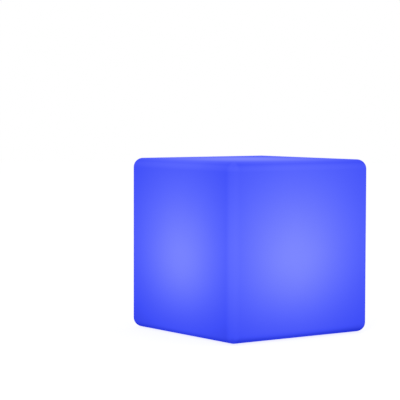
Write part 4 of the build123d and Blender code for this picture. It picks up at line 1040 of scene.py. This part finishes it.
# %% Choke
def cut_ring(half, cut):
    """A square ring with its corners cut: points where |x| + |y| is over 2 h - cut are drawn in."""
    ring = box_ring(half, half)
    return ring * np.minimum(1, (2 * half - cut) / np.abs(ring).sum(1))[:, None]


CHOKE_TOP = 50.6
choke_rings = [
    (POINT, BOARD_TOP), (cut_ring(4.0, 1.5), BOARD_TOP), (cut_ring(4.0, 1.5), CHOKE_TOP - 0.3),
    (cut_ring(3.7, 1.4), CHOKE_TOP), (circle(3.0, 32), CHOKE_TOP), (circle(2.9, 32), CHOKE_TOP - 0.8),
    (circle(2.5, 32), CHOKE_TOP - 0.8), (circle(2.4, 32), CHOKE_TOP - 0.1), (POINT, CHOKE_TOP - 0.1),
]
choke = placed(stack_of(choke_rings), [(12.0, -8.0)])
make_piece("choke", choke, ferrite, ["power_inductor"], 25.0)

# %% [markdown]
# ## Brass inserts and the charging socket
# The skin's brass nuts hold by their knurl: two helices of opposite hand cut diamonds into the
# outside, so the radius there is R - d (1 - |sin(k a + 2 z) sin(k a - 2 z)|). The socket is
# black nylon with a fine thread for its nut. Both are rings of one skin that goes down the
# bore and up the outside.

# %% Inserts
KNURLS, KNURL_DEPTH = 12, 0.3
COLLAR_RADIUS, BARREL_RADIUS = 4.2, 3.1  # of an insert
RING, TURN = circle(1.0, 96), np.arange(96) * 2 * np.pi / 96  # a ring of radius 1, and its angles


def insert_rings():
    """Bore, threaded; collar against the seat; knurled barrel; closed end."""
    rings = [(RING * 0, SEAT_Z + 8.0), (RING * 1.7, SEAT_Z + 8.0)]
    for z in np.arange(SEAT_Z + 7.8, SEAT_Z + 0.4, -0.175):
        rings.append((RING * (2.06 + 0.25 * (1 - thread_wave(TURN, z, 0.7)))[:, None], z))
    collar = [(2.4, 0.0), (COLLAR_RADIUS, 0.0), (COLLAR_RADIUS, 0.8), (2.8, 0.8)]
    rings += [(RING * r, SEAT_Z + z) for r, z in collar]
    for z in np.arange(SEAT_Z + 1.1, SEAT_Z + 8.7, 0.2):
        notch = np.abs(np.sin(KNURLS * TURN + 2 * z) * np.sin(KNURLS * TURN - 2 * z))
        rings.append((RING * (BARREL_RADIUS - KNURL_DEPTH + KNURL_DEPTH * notch)[:, None], z))
    return rings + [(RING * 2.8, SEAT_Z + 9.0), (RING * 0, SEAT_Z + 9.0)]


inserts = placed(stack_of(insert_rings()), SCREWS)
make_piece("knurled_inserts", inserts, brass, ["threaded_inserts"], 60.0)


# %% Socket
BORE, PIN_HOLE, FLANGE, BARREL_TURNED = 3.15, 1.08, 7.0, 5.5  # mm: the socket's radii


def socket_rings():
    """From the bore's floor out of the mouth, over the flange, up the thread and down the pin's hole."""
    mouth = [(PIN_HOLE, 21.8), (BORE, 21.8), (BORE, 12.1), (3.45, 11.8), (6.7, 11.8), (FLANGE, 12.1)]
    flange = [(FLANGE, 13.0), (BARREL_TURNED, 13.0), (BARREL_TURNED, 13.3)]
    rings = [(RING * r, z) for r, z in mouth + flange]
    for z in np.arange(13.5, 24.5, 0.2):
        rings.append((RING * (5.2 + 0.3 * thread_wave(TURN, z, 1.0))[:, None], z))
    top = [(BARREL_TURNED, 24.7), (5.1, 25.3), (PIN_HOLE, 25.3), (PIN_HOLE, 21.8)]
    return rings + [(RING * r, z) for r, z in top]


socket = placed(stack_of(socket_rings()), [(0.0, PORT_Y)])
make_piece("threaded_socket", socket, black_nylon, ["charging_jack"], 30.0)

# %% [markdown]
# ## Floor and light
# The photograph shows the cube cut out on plain white. A pale floor and a white surrounding
# give that. The floor is a wide disc of white paint with a larger share of even white that it
# gives off itself, so that the shadow and the blue that falls on it stay light. It has one
# side only and lets light from below through, so that the underside can be looked at as well.
# The surrounding is full white for the camera and in mirrors and glass, but lights less.

# %% Floor
FLOOR_RADIUS = 12.0             # metres
EVEN_WHITE, PAINT_SHARE = 1.17, 0.28


def floor_finish():
    """An even white with a share of matt white paint; nothing when seen from below."""
    material, tree = new_material("floor_white")
    paint = add(tree, "BsdfDiffuse", {"Color": linear("#F7F7F7")})
    even = add(tree, "Emission", {"Color": linear("#FFFFFF"), "Strength": EVEN_WHITE})
    both = add(tree, "MixShader", [PAINT_SHARE, even, paint])
    back = add(tree, "NewGeometry").outputs["Backfacing"]
    clear = add(tree, "BsdfTransparent")
    one_sided = add(tree, "MixShader", [back, both, clear])
    add(tree, "OutputMaterial", {"Surface": one_sided})
    return material


floor_mesh = bpy.data.meshes.new("floor")
floor_ring = circle(FLOOR_RADIUS, 96)
floor_mesh.from_pydata([(x, y, 0.0) for x, y in floor_ring.tolist()], [], [list(range(96))])
floor_mesh.materials.append(floor_finish())
floor = new_object("floor", floor_mesh)
floor.visible_diffuse = False
floor.visible_glossy = False
floor.visible_shadow = False

# %% World and lamps
DIM_WHITE = 0.62                # the surrounding's strength as a light
world = bpy.data.worlds.new("white_surrounding")
bpy.context.scene.world = world
world.use_nodes = True
world.node_tree.nodes.clear()
path = add(world.node_tree, "LightPath").outputs
seen = path["Is Camera Ray"]
for other in ("Is Glossy Ray", "Is Transmission Ray"):
    seen = add(world.node_tree, "Math", [seen, path[other]], operation="MAXIMUM")
strength = add(world.node_tree, "MapRange", {"Value": seen, "To Min": DIM_WHITE, "To Max": 1.0})
sky = add(world.node_tree, "Background", {"Color": linear("#FFFFFF"), "Strength": strength})
add(world.node_tree, "OutputWorld", {"Surface": sky})


def soft_box(name, place, size, watts):
    """A square lamp that looks at the cube's middle."""
    data = bpy.data.lights.new(name, "AREA")
    data.size, data.energy = size, watts
    lamp = new_object(name, data)
    look = (Vector((0, 0, 0.2)) - Vector(place)).to_track_quat("-Z", "Y")
    lamp.matrix_world = Matrix.Translation(place) @ look.to_matrix().to_4x4()


soft_box("key_light", (-2.9, -2.35, 1.3), 1.0, 55.0)
soft_box("fill_light", (2.6, -1.6, 3.2), 2.4, 20.0)
